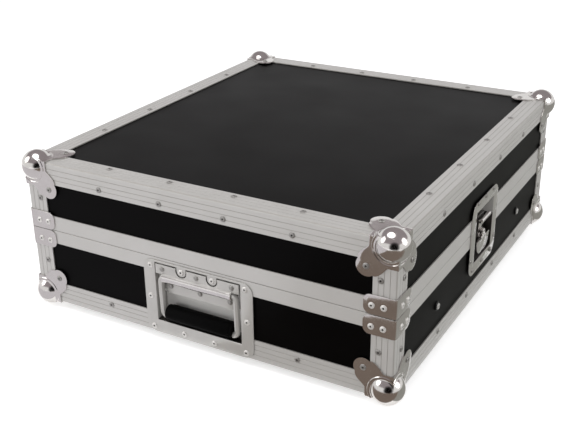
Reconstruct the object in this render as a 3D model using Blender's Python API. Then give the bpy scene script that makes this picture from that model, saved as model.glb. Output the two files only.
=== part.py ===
# Slant mixer flight case: a level-seamed road case whose base holds two sloping 19-inch rack rails.
# Metres, +Z up, +X to the case's right, the front with the carrying handle faces -Y.
# The origin is on the ground below the middle of the case, which stands on its lower ball corners.

import math

import bmesh
import bpy
from mathutils import Matrix, Vector

# Case
CASE_WIDTH = 0.535
CASE_DEPTH = 0.600
BASE_HEIGHT = 0.110
LID_HEIGHT = 0.097
SEAM_GAP = 0.0005
SEAT_GAP = 0.0003

# Panels
PANEL_THICKNESS = 0.007

# Double-angle edge extrusion
FLANGE_WIDTH = 0.0295
FLANGE_THICKNESS = 0.0015
INNER_FLANGE_WIDTH = 0.020
INNER_FLANGE_THICKNESS = 0.0012
WEB_HALF_WIDTH = 0.0009
ARRIS_RADIUS = 0.0022
GROOVE_POSITIONS = (0.0084, 0.0158, 0.0227)
GROOVE_WIDTH = 0.0009
GROOVE_DEPTH = 0.0004

# Rims at the seam
BASE_RIM_HEIGHT = 0.019
LID_RIM_HEIGHT = 0.021
RIM_INNER_HEIGHT = 0.015
TONGUE_HEIGHT = 0.0040
TONGUE_WIDTH = 0.0022
TONGUE_CLEARANCE = 0.0007

# Ball corners
BALL_RADIUS = 0.021
BALL_INSET = 0.0105
HARDWARE_THICKNESS = 0.0012
LOBE_CENTRE = 0.0375
LOBE_RADIUS = 0.0140
CORNER_PLATE_REACH = 0.0350
CORNER_PLATE_EDGE = 0.0045

# Corner braces
BRACE_LEG = 0.0400
BRACE_HEIGHT = 0.0255
BRACE_SEAM_OFFSET = 0.0004
BRACE_END_RADIUS = 0.0095

# Recessed handle: its dish reaches from the case's lower edge to just under the seam.
# Margins and drops are measured down from the piece above, depths in from the front face.
HANDLE_DISH_WIDTH = 0.163
HANDLE_DISH_BOTTOM = 0.0006
HANDLE_SEAM_MARGIN = 0.0035
HANDLE_DISH_CORNER = 0.014
HANDLE_OPENING_WIDTH = 0.128
HANDLE_LOWER_FLANGE = 0.0184
HANDLE_UPPER_FLANGE = 0.0030
HANDLE_SHELF_DEPTH = 0.0068
HANDLE_POCKET_DEPTH = 0.0205
HANDLE_SHELF_DROP = 0.0200
HANDLE_POCKET_SLOPE = 0.0140
HANDLE_TAB_SPACING = 0.046
HANDLE_TAB_RADIUS = 0.0070
HANDLE_TAB_DROP = 0.0080
KNUCKLE_DROP = 0.0195
KNUCKLE_DEPTH = 0.0005
KNUCKLE_WALL = 0.0016
KNUCKLE_WIDTH = 0.100
BRACKET_WIDTH = 0.118
BRACKET_THICKNESS = 0.0015
BRACKET_FLAP_DROP = 0.0240
BRACKET_FLAP_WIDTH = 0.100
ROD_RADIUS = 0.0040
ROD_CLEARANCE = 0.0004
ROD_BEND_RADIUS = 0.0080
BAIL_WIDTH = 0.113
BAIL_BAR_RISE = 0.0080
BAIL_BAR_DEPTH = 0.0060
BAIL_END_LENGTH = 0.022
GRIP_LENGTH = 0.092
GRIP_RADIUS = 0.0110
GRIP_RISE = 0.0130
GRIP_DEPTH = 0.0085
GRIP_COLLAR_LENGTH = 0.0040
GRIP_COLLAR_RADIUS = 0.0102
GRIP_RIB_COUNT = 18
GRIP_RIB_DEPTH = 0.0005

# Butterfly latches, heights measured from the seam, depths in from the side face
LATCH_DISH_WIDTH = 0.112
LATCH_DISH_DROP = 0.0655
LATCH_DISH_RISE = 0.0415
LATCH_DISH_CORNER = 0.017
LATCH_OPENING_WIDTH = 0.070
LATCH_OPENING_DROP = 0.0490
LATCH_OPENING_RISE = 0.0260
LATCH_DEPTH = 0.0150
LATCH_SLOPE_FOOT = 0.0120
LATCH_BASE_SLOPE = 0.0090
SPINDLE_DROP = 0.0220
SPINDLE_RADIUS = 0.0050
SPINDLE_HEAD_RADIUS = 0.0085
SPINDLE_HEAD_DEPTH = 0.0029
SPINDLE_HEAD_THICKNESS = 0.0013
WING_RADIUS = 0.0255
WING_THICKNESS = 0.0024
WING_KNUCKLE_RADIUS = 0.0024
WING_PIN_RADIUS = 0.0012
WING_PIN_CLEARANCE = 0.0003
WING_LUG_WIDTH = 0.0080
WING_KNUCKLE_LENGTH = 0.0045
HOOK_WIDTH = 0.032
HOOK_THICKNESS = 0.0018
HOOK_TRAVEL = 0.0050
HOOK_LIP_HEIGHT = 0.0088
HOOK_LIP_THICKNESS = 0.0020
HOOK_LIP_REACH = 0.0093
HOOK_TAIL = 0.0170
HOOK_SLOT_CLEARANCE = 0.0006
KEEPER_WIDTH = 0.030
KEEPER_THICKNESS = 0.0028

# Slanted rack mount: at this case width the two lines of rail holes are 465.1 mm apart, the 19-inch spacing
RACK_SLOPE = math.radians(7.0)
RAIL_UNITS = 12
RACK_UNIT = 0.04445
RAIL_HOLE_MARGIN = 0.01205
RAIL_FACE_WIDTH = 0.02255
RAIL_DEPTH = 0.0200
RAIL_THICKNESS = 0.0020
RAIL_HOLE = 0.0095
RAIL_HOLE_OFFSETS = (0.00635, 0.022225, 0.0381)
RAIL_FRONT_DROP = 0.0340
CHEEK_THICKNESS = 0.012
CHEEK_NOTCH_CLEARANCE = 0.0015
BOLT_FRONT = -0.164
BOLT_BACK = 0.167
BOLT_HEIGHT = 0.060
BOLT_HOLE_RADIUS = 0.0045
WALL_CUT_REACH = 0.030

# Lid lining
FOAM_THICKNESS = 0.010

# Values that follow from those above
half_width = CASE_WIDTH / 2
half_depth = CASE_DEPTH / 2
ball_proud = BALL_RADIUS - BALL_INSET
case_bottom = ball_proud
seam = case_bottom + BASE_HEIGHT
case_top = seam + LID_HEIGHT
slot_width = PANEL_THICKNESS + 2 * SEAT_GAP
slot_inner = FLANGE_THICKNESS + slot_width
extrusion_inner = slot_inner + INNER_FLANGE_THICKNESS
panel_face = FLANGE_THICKNESS + SEAT_GAP
panel_back = panel_face + PANEL_THICKNESS
panel_start = slot_inner + WEB_HALF_WIDTH + 2 * SEAT_GAP
lining_start = extrusion_inner + SEAT_GAP
plate_back = -SEAT_GAP
plate_front = -SEAT_GAP - HARDWARE_THICKNESS
rim_face = SEAM_GAP / 2
dish_bottom = HANDLE_DISH_BOTTOM
dish_top = BASE_HEIGHT - HANDLE_SEAM_MARGIN
opening_bottom = dish_bottom + HANDLE_LOWER_FLANGE
opening_top = dish_top - HANDLE_UPPER_FLANGE
knuckle_height = opening_top - KNUCKLE_DROP
shelf_bottom = knuckle_height - HANDLE_SHELF_DROP
pocket_top = shelf_bottom - HANDLE_POCKET_SLOPE
flap_bottom = knuckle_height - BRACKET_FLAP_DROP
tab_height = dish_top - HANDLE_TAB_DROP
bar_height = opening_bottom + BAIL_BAR_RISE
grip_height = opening_bottom + GRIP_RISE

part_collection = bpy.data.collections.new("slant_mixer_flight_case")
cutter_collection = bpy.data.collections.new("cutters")


def clear_scene():
    for item in list(bpy.data.objects):
        bpy.data.objects.remove(item, do_unlink=True)
    bpy.context.scene.collection.children.link(part_collection)
    bpy.context.scene.collection.children.link(cutter_collection)


def make_material(name, colour, roughness, metallic):
    material = bpy.data.materials.new(name)
    material.use_nodes = True
    shader = material.node_tree.nodes["Principled BSDF"]
    shader.inputs["Base Color"].default_value = (*colour, 1.0)
    shader.inputs["Roughness"].default_value = roughness
    shader.inputs["Metallic"].default_value = metallic
    material.diffuse_color = (*colour, 1.0)
    return material


def link_part(item, material, matrix=None, parent=None):
    part_collection.objects.link(item)
    item.data.materials.clear()
    item.data.materials.append(material)
    if parent is not None:
        item.parent = parent
        item.matrix_parent_inverse = parent.matrix_world.inverted()
    if matrix is not None:
        item.matrix_world = matrix
    return item


def link_cutter(item, matrix=None):
    cutter_collection.objects.link(item)
    item.hide_render = True
    item.display_type = "WIRE"
    if matrix is not None:
        item.matrix_world = matrix
    return item


def pivot(name, location, parent=None):
    empty = bpy.data.objects.new(name, None)
    part_collection.objects.link(empty)
    empty.empty_display_size = 0.03
    empty.parent = parent
    bpy.context.view_layer.update()
    if parent is not None:
        empty.matrix_parent_inverse = parent.matrix_world.inverted()
    empty.location = location
    bpy.context.view_layer.update()
    return empty


def mesh_from(bm, name):
    bmesh.ops.recalc_face_normals(bm, faces=bm.faces)
    mesh = bpy.data.meshes.new(name)
    bm.to_mesh(mesh)
    bm.free()
    return mesh


def box_mesh(name, low, high):
    low = Vector(low)
    high = Vector(high)
    bm = bmesh.new()
    bmesh.ops.create_cube(bm, size=1.0)
    bmesh.ops.scale(bm, vec=high - low, verts=bm.verts)
    bmesh.ops.translate(bm, vec=(low + high) / 2, verts=bm.verts)
    return mesh_from(bm, name)


def cylinder_mesh(name, radius, start, end, segments, top_radius=None):
    start = Vector(start)
    end = Vector(end)
    bm = bmesh.new()
    bmesh.ops.create_cone(
        bm, cap_ends=True, segments=segments, radius1=radius,
        radius2=radius if top_radius is None else top_radius, depth=(end - start).length)
    turn = (end - start).to_track_quat("Z", "Y").to_matrix().to_4x4()
    bmesh.ops.transform(bm, matrix=Matrix.Translation((start + end) / 2) @ turn, verts=bm.verts)
    return mesh_from(bm, name)


def ball_mesh(name, radius, centre, segments, rings):
    bm = bmesh.new()
    bmesh.ops.create_uvsphere(bm, u_segments=segments, v_segments=rings, radius=radius)
    bmesh.ops.translate(bm, vec=centre, verts=bm.verts)
    return mesh_from(bm, name)


def prism_mesh(name, outlines, low, high, matrix=None):
    # A flat outline with any inner outlines as holes, drawn in X and Y and extruded from low to high along Z.
    curve = bpy.data.curves.new(name, "CURVE")
    curve.dimensions = "2D"
    curve.fill_mode = "BOTH"
    curve.extrude = (high - low) / 2
    for outline in outlines:
        spline = curve.splines.new("POLY")
        spline.points.add(len(outline) - 1)
        for point, (x, y) in zip(spline.points, outline):
            point.co = (x, y, 0.0, 1.0)
        spline.use_cyclic_u = True
    drawn = bpy.data.objects.new(name, curve)
    cutter_collection.objects.link(drawn)
    bpy.context.view_layer.update()
    mesh = bpy.data.meshes.new_from_object(drawn.evaluated_get(bpy.context.evaluated_depsgraph_get()))
    bpy.data.objects.remove(drawn, do_unlink=True)
    bm = bmesh.new()
    bm.from_mesh(mesh)
    bmesh.ops.remove_doubles(bm, verts=bm.verts, dist=0.000001)
    bmesh.ops.translate(bm, vec=(0, 0, (low + high) / 2), verts=bm.verts)
    if matrix is not None:
        bmesh.ops.transform(bm, matrix=matrix, verts=bm.verts)
    mesh.materials.clear()
    bmesh.ops.recalc_face_normals(bm, faces=bm.faces)
    bm.to_mesh(mesh)
    bm.free()
    return mesh


def ring_mesh(name, profile, half_x, half_y):
    # A mitred frame: the profile of (inset, height) points is spun in four steps on its diagonal,
    # and each corner is then moved out to the frame's own corner.
    reach = 1.0
    bm = bmesh.new()
    corners = [bm.verts.new((reach - inset, reach - inset, height)) for inset, height in profile]
    edges = [bm.edges.new((corners[i - 1], corners[i])) for i in range(len(corners))]
    bmesh.ops.spin(
        bm, geom=corners + edges, cent=(0, 0, 0), axis=(0, 0, 1), angle=math.tau, steps=4, use_merge=True)
    bmesh.ops.remove_doubles(bm, verts=bm.verts, dist=0.00001)
    for vertex in bm.verts:
        vertex.co.x -= math.copysign(reach - half_x, vertex.co.x)
        vertex.co.y -= math.copysign(reach - half_y, vertex.co.y)
    return mesh_from(bm, name)


def combine(name, base_mesh, steps):
    # Joins or cuts the base mesh with each (operation, mesh) in turn and returns the finished mesh.
    item = bpy.data.objects.new(name, base_mesh)
    cutter_collection.objects.link(item)
    tools = []
    for operation, mesh in steps:
        tool = bpy.data.objects.new(name + "_tool", mesh)
        link_cutter(tool)
        tools.append(tool)
        modifier = item.modifiers.new(operation.lower(), "BOOLEAN")
        modifier.operation = operation
        modifier.solver = "EXACT"
        modifier.object = tool
    bpy.context.view_layer.update()
    mesh = bpy.data.meshes.new_from_object(item.evaluated_get(bpy.context.evaluated_depsgraph_get()))
    for tool in tools:
        bpy.data.objects.remove(tool, do_unlink=True)
    bpy.data.objects.remove(item, do_unlink=True)
    bm = bmesh.new()
    bm.from_mesh(mesh)
    bmesh.ops.remove_doubles(bm, verts=bm.verts, dist=0.000002)
    bmesh.ops.dissolve_degenerate(bm, edges=bm.edges, dist=0.000002)
    bmesh.ops.dissolve_limit(bm, angle_limit=math.radians(0.3), verts=bm.verts, edges=bm.edges)
    bmesh.ops.triangulate(bm, faces=[face for face in bm.faces if len(face.verts) > 4])
    bm.to_mesh(mesh)
    bm.free()
    mesh.name = name
    return mesh


def smooth(mesh, degrees=35):
    mesh.shade_smooth()
    mesh.set_sharp_from_angle(angle=math.radians(degrees))
    return mesh


def arc(centre, radius, start, end, count):
    return [
        (centre[0] + radius * math.cos(math.radians(start + (end - start) * i / count)),
         centre[1] + radius * math.sin(math.radians(start + (end - start) * i / count)))
        for i in range(count + 1)]


def bezier(p0, p1, p2, p3, count):
    points = []
    for i in range(1, count):
        t = i / count
        s = 1 - t
        points.append(tuple(
            s ** 3 * a + 3 * s * s * t * b + 3 * s * t * t * c + t ** 3 * d
            for a, b, c, d in zip(p0, p1, p2, p3)))
    return points


def rounded_rectangle(low, high, radii, count=4):
    # Corner radii run from the lower left corner anticlockwise.
    (x0, y0), (x1, y1) = low, high
    corners = ((x0, y0, 180), (x1, y0, 270), (x1, y1, 0), (x0, y1, 90))
    signs = ((1, 1), (-1, 1), (-1, -1), (1, -1))
    points = []
    for (x, y, start), (sx, sy), radius in zip(corners, signs, radii):
        if radius > 0:
            points += arc((x + sx * radius, y + sy * radius), radius, start, start + 90, count)
        else:
            points.append((x, y))
    return points


def grooved_edge(length):
    # Points along the outer side of a flange from the arris outwards, as (distance, depth).
    points = []
    for middle in GROOVE_POSITIONS:
        points += [
            (middle - GROOVE_WIDTH / 2, 0.0), (middle - GROOVE_WIDTH / 4, GROOVE_DEPTH),
            (middle + GROOVE_WIDTH / 4, GROOVE_DEPTH), (middle + GROOVE_WIDTH / 2, 0.0)]
    points.append((length, 0.0))
    return points


def extrusion_profile():
    # Section of the double-angle extrusion, each axis an inset from one of the two faces that it covers.
    outer = grooved_edge(FLANGE_WIDTH)
    arris = [(ARRIS_RADIUS * (1 - math.sin(math.radians(a))), ARRIS_RADIUS * (1 - math.cos(math.radians(a))))
             for a in (0, 30, 60, 90)]
    web = WEB_HALF_WIDTH * math.sqrt(2)
    points = [(distance, depth) for distance, depth in reversed(outer)]
    points += arris
    points += [(depth, distance) for distance, depth in outer]
    points += [
        (FLANGE_THICKNESS, FLANGE_WIDTH), (FLANGE_THICKNESS, FLANGE_THICKNESS + web),
        (slot_inner, slot_inner + web), (slot_inner, INNER_FLANGE_WIDTH),
        (extrusion_inner, INNER_FLANGE_WIDTH), (extrusion_inner, extrusion_inner),
        (INNER_FLANGE_WIDTH, extrusion_inner), (INNER_FLANGE_WIDTH, slot_inner),
        (slot_inner + web, slot_inner), (FLANGE_THICKNESS + web, FLANGE_THICKNESS),
        (FLANGE_WIDTH, FLANGE_THICKNESS)]
    return points


def place(origin, x_axis, y_axis, z_axis):
    matrix = Matrix.Identity(4)
    for column, axis in enumerate((x_axis, y_axis, z_axis)):
        matrix.col[column] = (*axis, 0.0)
    matrix.col[3] = (*origin, 1.0)
    return matrix


def face_frame(side, height):
    # Local X to the right, Y in through the face, Z up, with its origin on the face's middle line.
    if side == "front":
        return place((0, -half_depth, height), (1, 0, 0), (0, 1, 0), (0, 0, 1))
    if side == "right":
        return place((half_width, 0, height), (0, 1, 0), (-1, 0, 0), (0, 0, 1))
    return place((-half_width, 0, height), (0, -1, 0), (1, 0, 0), (0, 0, 1))


# Profiles drawn in X and Y and extruded along Z are turned so that the drawing lies in depth and height.
depth_and_height = Matrix(((0, 0, 1, 0), (1, 0, 0, 0), (0, 1, 0, 0), (0, 0, 0, 1)))
# Drawings in width and height face along the depth.
width_and_height = Matrix(((1, 0, 0, 0), (0, 0, -1, 0), (0, 1, 0, 0), (0, 0, 0, 1)))

clear_scene()

laminate = make_material("black_laminated_plywood", (0.022, 0.021, 0.021), 0.42, 0.0)
aluminium = make_material("satin_aluminium", (0.52, 0.51, 0.49), 0.34, 1.0)
steel = make_material("polished_steel", (0.62, 0.61, 0.60), 0.12, 1.0)
zinc = make_material("zinc_plated_steel", (0.56, 0.55, 0.54), 0.26, 1.0)
rubber = make_material("black_rubber", (0.012, 0.012, 0.013), 0.62, 0.0)
birch = make_material("birch_plywood", (0.48, 0.33, 0.19), 0.60, 0.0)
rail_steel = make_material("black_rail_steel", (0.030, 0.030, 0.032), 0.45, 0.6)
foam = make_material("charcoal_foam", (0.030, 0.030, 0.033), 0.95, 0.0)

base = pivot("base_frame", (0, 0, case_bottom))
lid = pivot("lid_frame", (0, 0, seam))

# Openings that the dishes need through panels and extrusions
handle_cut_half = HANDLE_OPENING_WIDTH / 2 + HARDWARE_THICKNESS + 2 * SEAT_GAP
handle_cut_bottom = case_bottom + opening_bottom - HARDWARE_THICKNESS - 2 * SEAT_GAP
handle_cut_top = case_bottom + opening_top + HARDWARE_THICKNESS + 2 * SEAT_GAP
latch_cut_half = LATCH_OPENING_WIDTH / 2 + HARDWARE_THICKNESS + 2 * SEAT_GAP
latch_cut_bottom = seam - LATCH_OPENING_DROP - HARDWARE_THICKNESS - 2 * SEAT_GAP
latch_cut_top = seam + LATCH_OPENING_RISE + HARDWARE_THICKNESS + 2 * SEAT_GAP
through = WALL_CUT_REACH


def handle_cutter():
    return box_mesh(
        "handle_cut", (-handle_cut_half, -half_depth - through, handle_cut_bottom),
        (handle_cut_half, -half_depth + through, handle_cut_top))


def latch_cutter(side):
    return box_mesh(
        "latch_cut", (side * half_width - through, -latch_cut_half, latch_cut_bottom),
        (side * half_width + through, latch_cut_half, latch_cut_top))


def bolt_cutter(side, position):
    middle = (side * half_width, position, case_bottom + BOLT_HEIGHT)
    reach = Vector((through, 0, 0))
    return cylinder_mesh("bolt_hole", BOLT_HOLE_RADIUS, Vector(middle) - reach, Vector(middle) + reach, 12)


# Panels, held in the slots of the extrusions
inner_x = half_width - panel_start
inner_y = half_depth - panel_start
base_low = case_bottom + panel_start
base_high = seam - rim_face - FLANGE_THICKNESS - SEAT_GAP
lid_low = seam + rim_face + FLANGE_THICKNESS + TONGUE_HEIGHT + TONGUE_CLEARANCE + SEAT_GAP
lid_high = case_top - panel_start


def wall_box(name, side, low, high):
    if side in ("front", "back"):
        sign = -1 if side == "front" else 1
        ys = sorted((sign * (half_depth - panel_face), sign * (half_depth - panel_back)))
        return box_mesh(name, (-inner_x, ys[0], low), (inner_x, ys[1], high))
    sign = 1 if side == "right" else -1
    xs = sorted((sign * (half_width - panel_face), sign * (half_width - panel_back)))
    return box_mesh(name, (xs[0], -inner_y, low), (xs[1], inner_y, high))


for part_name, frame, low, high in (("base", base, base_low, base_high), ("lid", lid, lid_low, lid_high)):
    for side in ("front", "back", "left", "right"):
        name = part_name + "_panel_" + side
        mesh = wall_box(name, side, low, high)
        cuts = []
        if part_name == "base" and side == "front":
            cuts.append(("DIFFERENCE", handle_cutter()))
        if side in ("left", "right"):
            sign = 1 if side == "right" else -1
            cuts.append(("DIFFERENCE", latch_cutter(sign)))
            if part_name == "base":
                cuts.append(("DIFFERENCE", bolt_cutter(sign, BOLT_FRONT)))
                cuts.append(("DIFFERENCE", bolt_cutter(sign, BOLT_BACK)))
        if cuts:
            mesh = combine(name, mesh, cuts)
        link_part(bpy.data.objects.new(name, mesh), laminate, parent=frame)

link_part(bpy.data.objects.new("base_panel_bottom", box_mesh(
    "base_panel_bottom", (-inner_x, -inner_y, case_bottom + panel_face),
    (inner_x, inner_y, case_bottom + panel_back))), laminate, parent=base)
link_part(bpy.data.objects.new("lid_panel_top", box_mesh(
    "lid_panel_top", (-inner_x, -inner_y, case_top - panel_back),
    (inner_x, inner_y, case_top - panel_face))), laminate, parent=lid)

# Edge extrusions round the top and the bottom, mitred at the corners
section = extrusion_profile()
bottom_ring = ring_mesh(
    "bottom_edge_extrusion", [(inset, case_bottom + height) for inset, height in section], half_width, half_depth)
bottom_ring = combine("bottom_edge_extrusion", bottom_ring, [("DIFFERENCE", handle_cutter())])
link_part(bpy.data.objects.new("bottom_edge_extrusion", bottom_ring), aluminium, parent=base)
top_ring = ring_mesh(
    "top_edge_extrusion", [(inset, case_top - height) for inset, height in section], half_width, half_depth)
link_part(bpy.data.objects.new("top_edge_extrusion", top_ring), aluminium, parent=lid)

# Upright corner extrusions between the rings and the rims
upright_base = (case_bottom + FLANGE_WIDTH + SEAT_GAP, seam - BASE_RIM_HEIGHT - SEAT_GAP)
upright_lid = (seam + LID_RIM_HEIGHT + SEAT_GAP, case_top - FLANGE_WIDTH - SEAT_GAP)
corner_signs = (("front_right", 1, -1), ("back_right", 1, 1), ("back_left", -1, 1), ("front_left", -1, -1))
for part_name, frame, (low, high) in (("base", base, upright_base), ("lid", lid, upright_lid)):
    stick = prism_mesh(part_name + "_upright", [section], -(high - low) / 2, (high - low) / 2)
    for corner_name, sx, sy in corner_signs:
        matrix = place(
            (sx * half_width, sy * half_depth, (low + high) / 2), (-sx, 0, 0), (0, -sy, 0), (0, 0, sx * sy))
        item = bpy.data.objects.new(part_name + "_upright_" + corner_name, stick)
        link_part(item, aluminium, matrix, frame)

# Rims: the base rim carries a tongue that the lid rim's groove drops over
tongue_middle = (FLANGE_THICKNESS + slot_inner) / 2
groove_half = TONGUE_WIDTH / 2 + TONGUE_CLEARANCE
base_rim_section = [
    (0.0, seam - BASE_RIM_HEIGHT), (0.0, seam - rim_face - 0.0004), (0.0004, seam - rim_face),
    (tongue_middle - TONGUE_WIDTH / 2, seam - rim_face),
    (tongue_middle - TONGUE_WIDTH / 2, seam - rim_face + TONGUE_HEIGHT),
    (tongue_middle + TONGUE_WIDTH / 2, seam - rim_face + TONGUE_HEIGHT),
    (tongue_middle + TONGUE_WIDTH / 2, seam - rim_face),
    (extrusion_inner, seam - rim_face), (extrusion_inner, seam - RIM_INNER_HEIGHT),
    (slot_inner, seam - RIM_INNER_HEIGHT), (slot_inner, seam - rim_face - FLANGE_THICKNESS),
    (FLANGE_THICKNESS, seam - rim_face - FLANGE_THICKNESS), (FLANGE_THICKNESS, seam - BASE_RIM_HEIGHT)]
groove_top = seam + rim_face + TONGUE_HEIGHT + TONGUE_CLEARANCE
lid_rim_section = [
    (0.0, seam + LID_RIM_HEIGHT), (0.0, seam + rim_face + 0.0004), (0.0004, seam + rim_face),
    (tongue_middle - groove_half, seam + rim_face), (tongue_middle - groove_half, groove_top),
    (tongue_middle + groove_half, groove_top), (tongue_middle + groove_half, seam + rim_face),
    (extrusion_inner, seam + rim_face), (extrusion_inner, seam + LID_RIM_HEIGHT - 0.001),
    (slot_inner, seam + LID_RIM_HEIGHT - 0.001), (slot_inner, groove_top + FLANGE_THICKNESS),
    (FLANGE_THICKNESS, groove_top + FLANGE_THICKNESS), (FLANGE_THICKNESS, seam + LID_RIM_HEIGHT)]
for part_name, frame, rim_section in (("base", base, base_rim_section), ("lid", lid, lid_rim_section)):
    for end_name, sign in (("front", -1), ("back", 1)):
        name = part_name + "_rim_" + end_name
        if sign < 0:
            waste = box_mesh("waste", (-1, -latch_cut_half, 0), (1, 1, 1))
        else:
            waste = box_mesh("waste", (-1, -1, 0), (1, latch_cut_half, 1))
        cuts = [("DIFFERENCE", waste)]
        if part_name == "base" and end_name == "front":
            cuts.append(("DIFFERENCE", handle_cutter()))
        mesh = combine(name, ring_mesh(name, rim_section, half_width, half_depth), cuts)
        link_part(bpy.data.objects.new(name, mesh), aluminium, parent=frame)


# Ball corners: three lobed plates that wrap the corner and a hollow ball that stands proud of it
def corner_plate_outline():
    edge = plate_front
    lobe_start = (
        LOBE_CENTRE + LOBE_RADIUS * math.cos(math.radians(-30)),
        LOBE_CENTRE + LOBE_RADIUS * math.sin(math.radians(-30)))
    pull = LOBE_RADIUS * 0.85
    side = [(edge, edge), (CORNER_PLATE_REACH, edge), (CORNER_PLATE_REACH, CORNER_PLATE_EDGE)]
    side += bezier(
        (CORNER_PLATE_REACH, CORNER_PLATE_EDGE), (CORNER_PLATE_REACH - 0.0005, pull),
        (lobe_start[0] - 0.5 * pull, lobe_start[1] - 0.87 * pull), lobe_start, 3)
    lobe = arc((LOBE_CENTRE, LOBE_CENTRE), LOBE_RADIUS, -30, 120, 6)
    return side + lobe + [(y, x) for x, y in reversed(side[1:])]


plate_outline = corner_plate_outline()
trim = 0.004
plates = []
for turn in (
        Matrix(((1, 0, 0, 0), (0, 1, 0, 0), (0, 0, 1, 0), (0, 0, 0, 1))),
        Matrix(((0, 0, 1, 0), (1, 0, 0, 0), (0, 1, 0, 0), (0, 0, 0, 1))),
        Matrix(((0, 1, 0, 0), (0, 0, 1, 0), (1, 0, 0, 0), (0, 0, 0, 1)))):
    plates.append((turn, prism_mesh("plate", [plate_outline], plate_front, trim, turn)))
ball_centre = Vector((BALL_INSET, BALL_INSET, BALL_INSET))
corner_block = box_mesh(
    "corner_block", (-SEAT_GAP, -SEAT_GAP, -SEAT_GAP), (0.2, 0.2, 0.2))
ball_corner = combine(
    "ball_corner", ball_mesh("ball", BALL_RADIUS, ball_centre, 20, 10),
    [("UNION", plates[0][1]), ("UNION", plates[1][1]), ("UNION", plates[2][1]),
     ("DIFFERENCE", ball_mesh("hollow", BALL_RADIUS - HARDWARE_THICKNESS, ball_centre, 12, 6)),
     ("DIFFERENCE", corner_block)])
smooth(ball_corner)
for level_name, frame, height, sz in (("bottom", base, case_bottom, -1), ("top", lid, case_top, 1)):
    for corner_name, sx, sy in corner_signs:
        first = Vector((-sx, 0, 0))
        second = Vector((0, -sy, 0))
        third = Vector((0, 0, -sz))
        if first.cross(second).dot(third) < 0:
            first, second = second, first
        matrix = place((sx * half_width, sy * half_depth, height), first, second, third)
        link_part(
            bpy.data.objects.new("ball_corner_" + level_name + "_" + corner_name, ball_corner), steel, matrix, frame)


# Corner braces: one bent plate each, wrapped round an upright edge beside the seam
def brace_mesh():
    leg_outline = [(plate_front, 0.0)]
    leg_outline += rounded_rectangle(
        (plate_front, 0.0), (BRACE_LEG, BRACE_HEIGHT), (0, BRACE_END_RADIUS, BRACE_END_RADIUS, 0), 5)[1:]
    first = prism_mesh(
        "leg", [leg_outline], -plate_back, -plate_front,
        Matrix(((1, 0, 0, 0), (0, 0, -1, 0), (0, 1, 0, 0), (0, 0, 0, 1))))
    second = prism_mesh(
        "leg", [leg_outline], plate_front, plate_back,
        Matrix(((0, 0, 1, 0), (1, 0, 0, 0), (0, 1, 0, 0), (0, 0, 0, 1))))
    return combine("brace", first, [("UNION", second)])


brace = brace_mesh()
for part_name, frame, low in (
        ("base", base, seam - rim_face - BRACE_SEAM_OFFSET - BRACE_HEIGHT),
        ("lid", lid, seam + rim_face + BRACE_SEAM_OFFSET)):
    for corner_name, sx, sy in corner_signs:
        first = Vector((-sx, 0, 0))
        second = Vector((0, -sy, 0))
        if sx * sy < 0:
            first, second = second, first
        matrix = place((sx * half_width, sy * half_depth, low), first, second, (0, 0, 1))
        link_part(
            bpy.data.objects.new(part_name + "_brace_" + corner_name, brace), steel, matrix, frame)

# Recessed handle: flanged dish with a shallow shelf and a deep pocket behind the grip
front = face_frame("front", case_bottom)
opening_half = HANDLE_OPENING_WIDTH / 2
handle_flange = prism_mesh(
    "flange", [rounded_rectangle(
        (-HANDLE_DISH_WIDTH / 2, dish_bottom), (HANDLE_DISH_WIDTH / 2, dish_top),
        (HANDLE_DISH_CORNER,) * 4, 5)], -plate_back, -plate_front, width_and_height)


def pan_outline(grow, mouth):
    return [
        (mouth, opening_bottom - grow), (HANDLE_POCKET_DEPTH + grow, opening_bottom + 0.002 - grow),
        (HANDLE_POCKET_DEPTH + grow, pocket_top + grow * 0.4),
        (HANDLE_SHELF_DEPTH + grow, shelf_bottom + grow * 0.4),
        (HANDLE_SHELF_DEPTH + grow, opening_top - 0.0005 + grow), (mouth, opening_top + grow)]


pan_outer = prism_mesh(
    "pan", [pan_outline(HARDWARE_THICKNESS, plate_back)],
    -opening_half - HARDWARE_THICKNESS, opening_half + HARDWARE_THICKNESS, depth_and_height)
pan_inner = prism_mesh(
    "hollow", [pan_outline(0.0, plate_front - 0.002)], -opening_half, opening_half, depth_and_height)
handle_dish = combine("handle_dish", handle_flange, [("UNION", pan_outer), ("DIFFERENCE", pan_inner)])
tab_steps = []
for sign in (-1, 1):
    tab = rounded_rectangle(
        (sign * HANDLE_TAB_SPACING / 2 - HANDLE_TAB_RADIUS, tab_height - HANDLE_TAB_RADIUS),
        (sign * HANDLE_TAB_SPACING / 2 + HANDLE_TAB_RADIUS, dish_top - 0.001),
        (HANDLE_TAB_RADIUS * 0.98, HANDLE_TAB_RADIUS * 0.98, 0, 0), 5)
    tab_steps.append(("UNION", prism_mesh("tab", [tab], -plate_back, -plate_front, width_and_height)))
handle_dish = combine("handle_dish", handle_dish, tab_steps)
link_part(bpy.data.objects.new("handle_dish", handle_dish), zinc, front, base)

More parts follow.
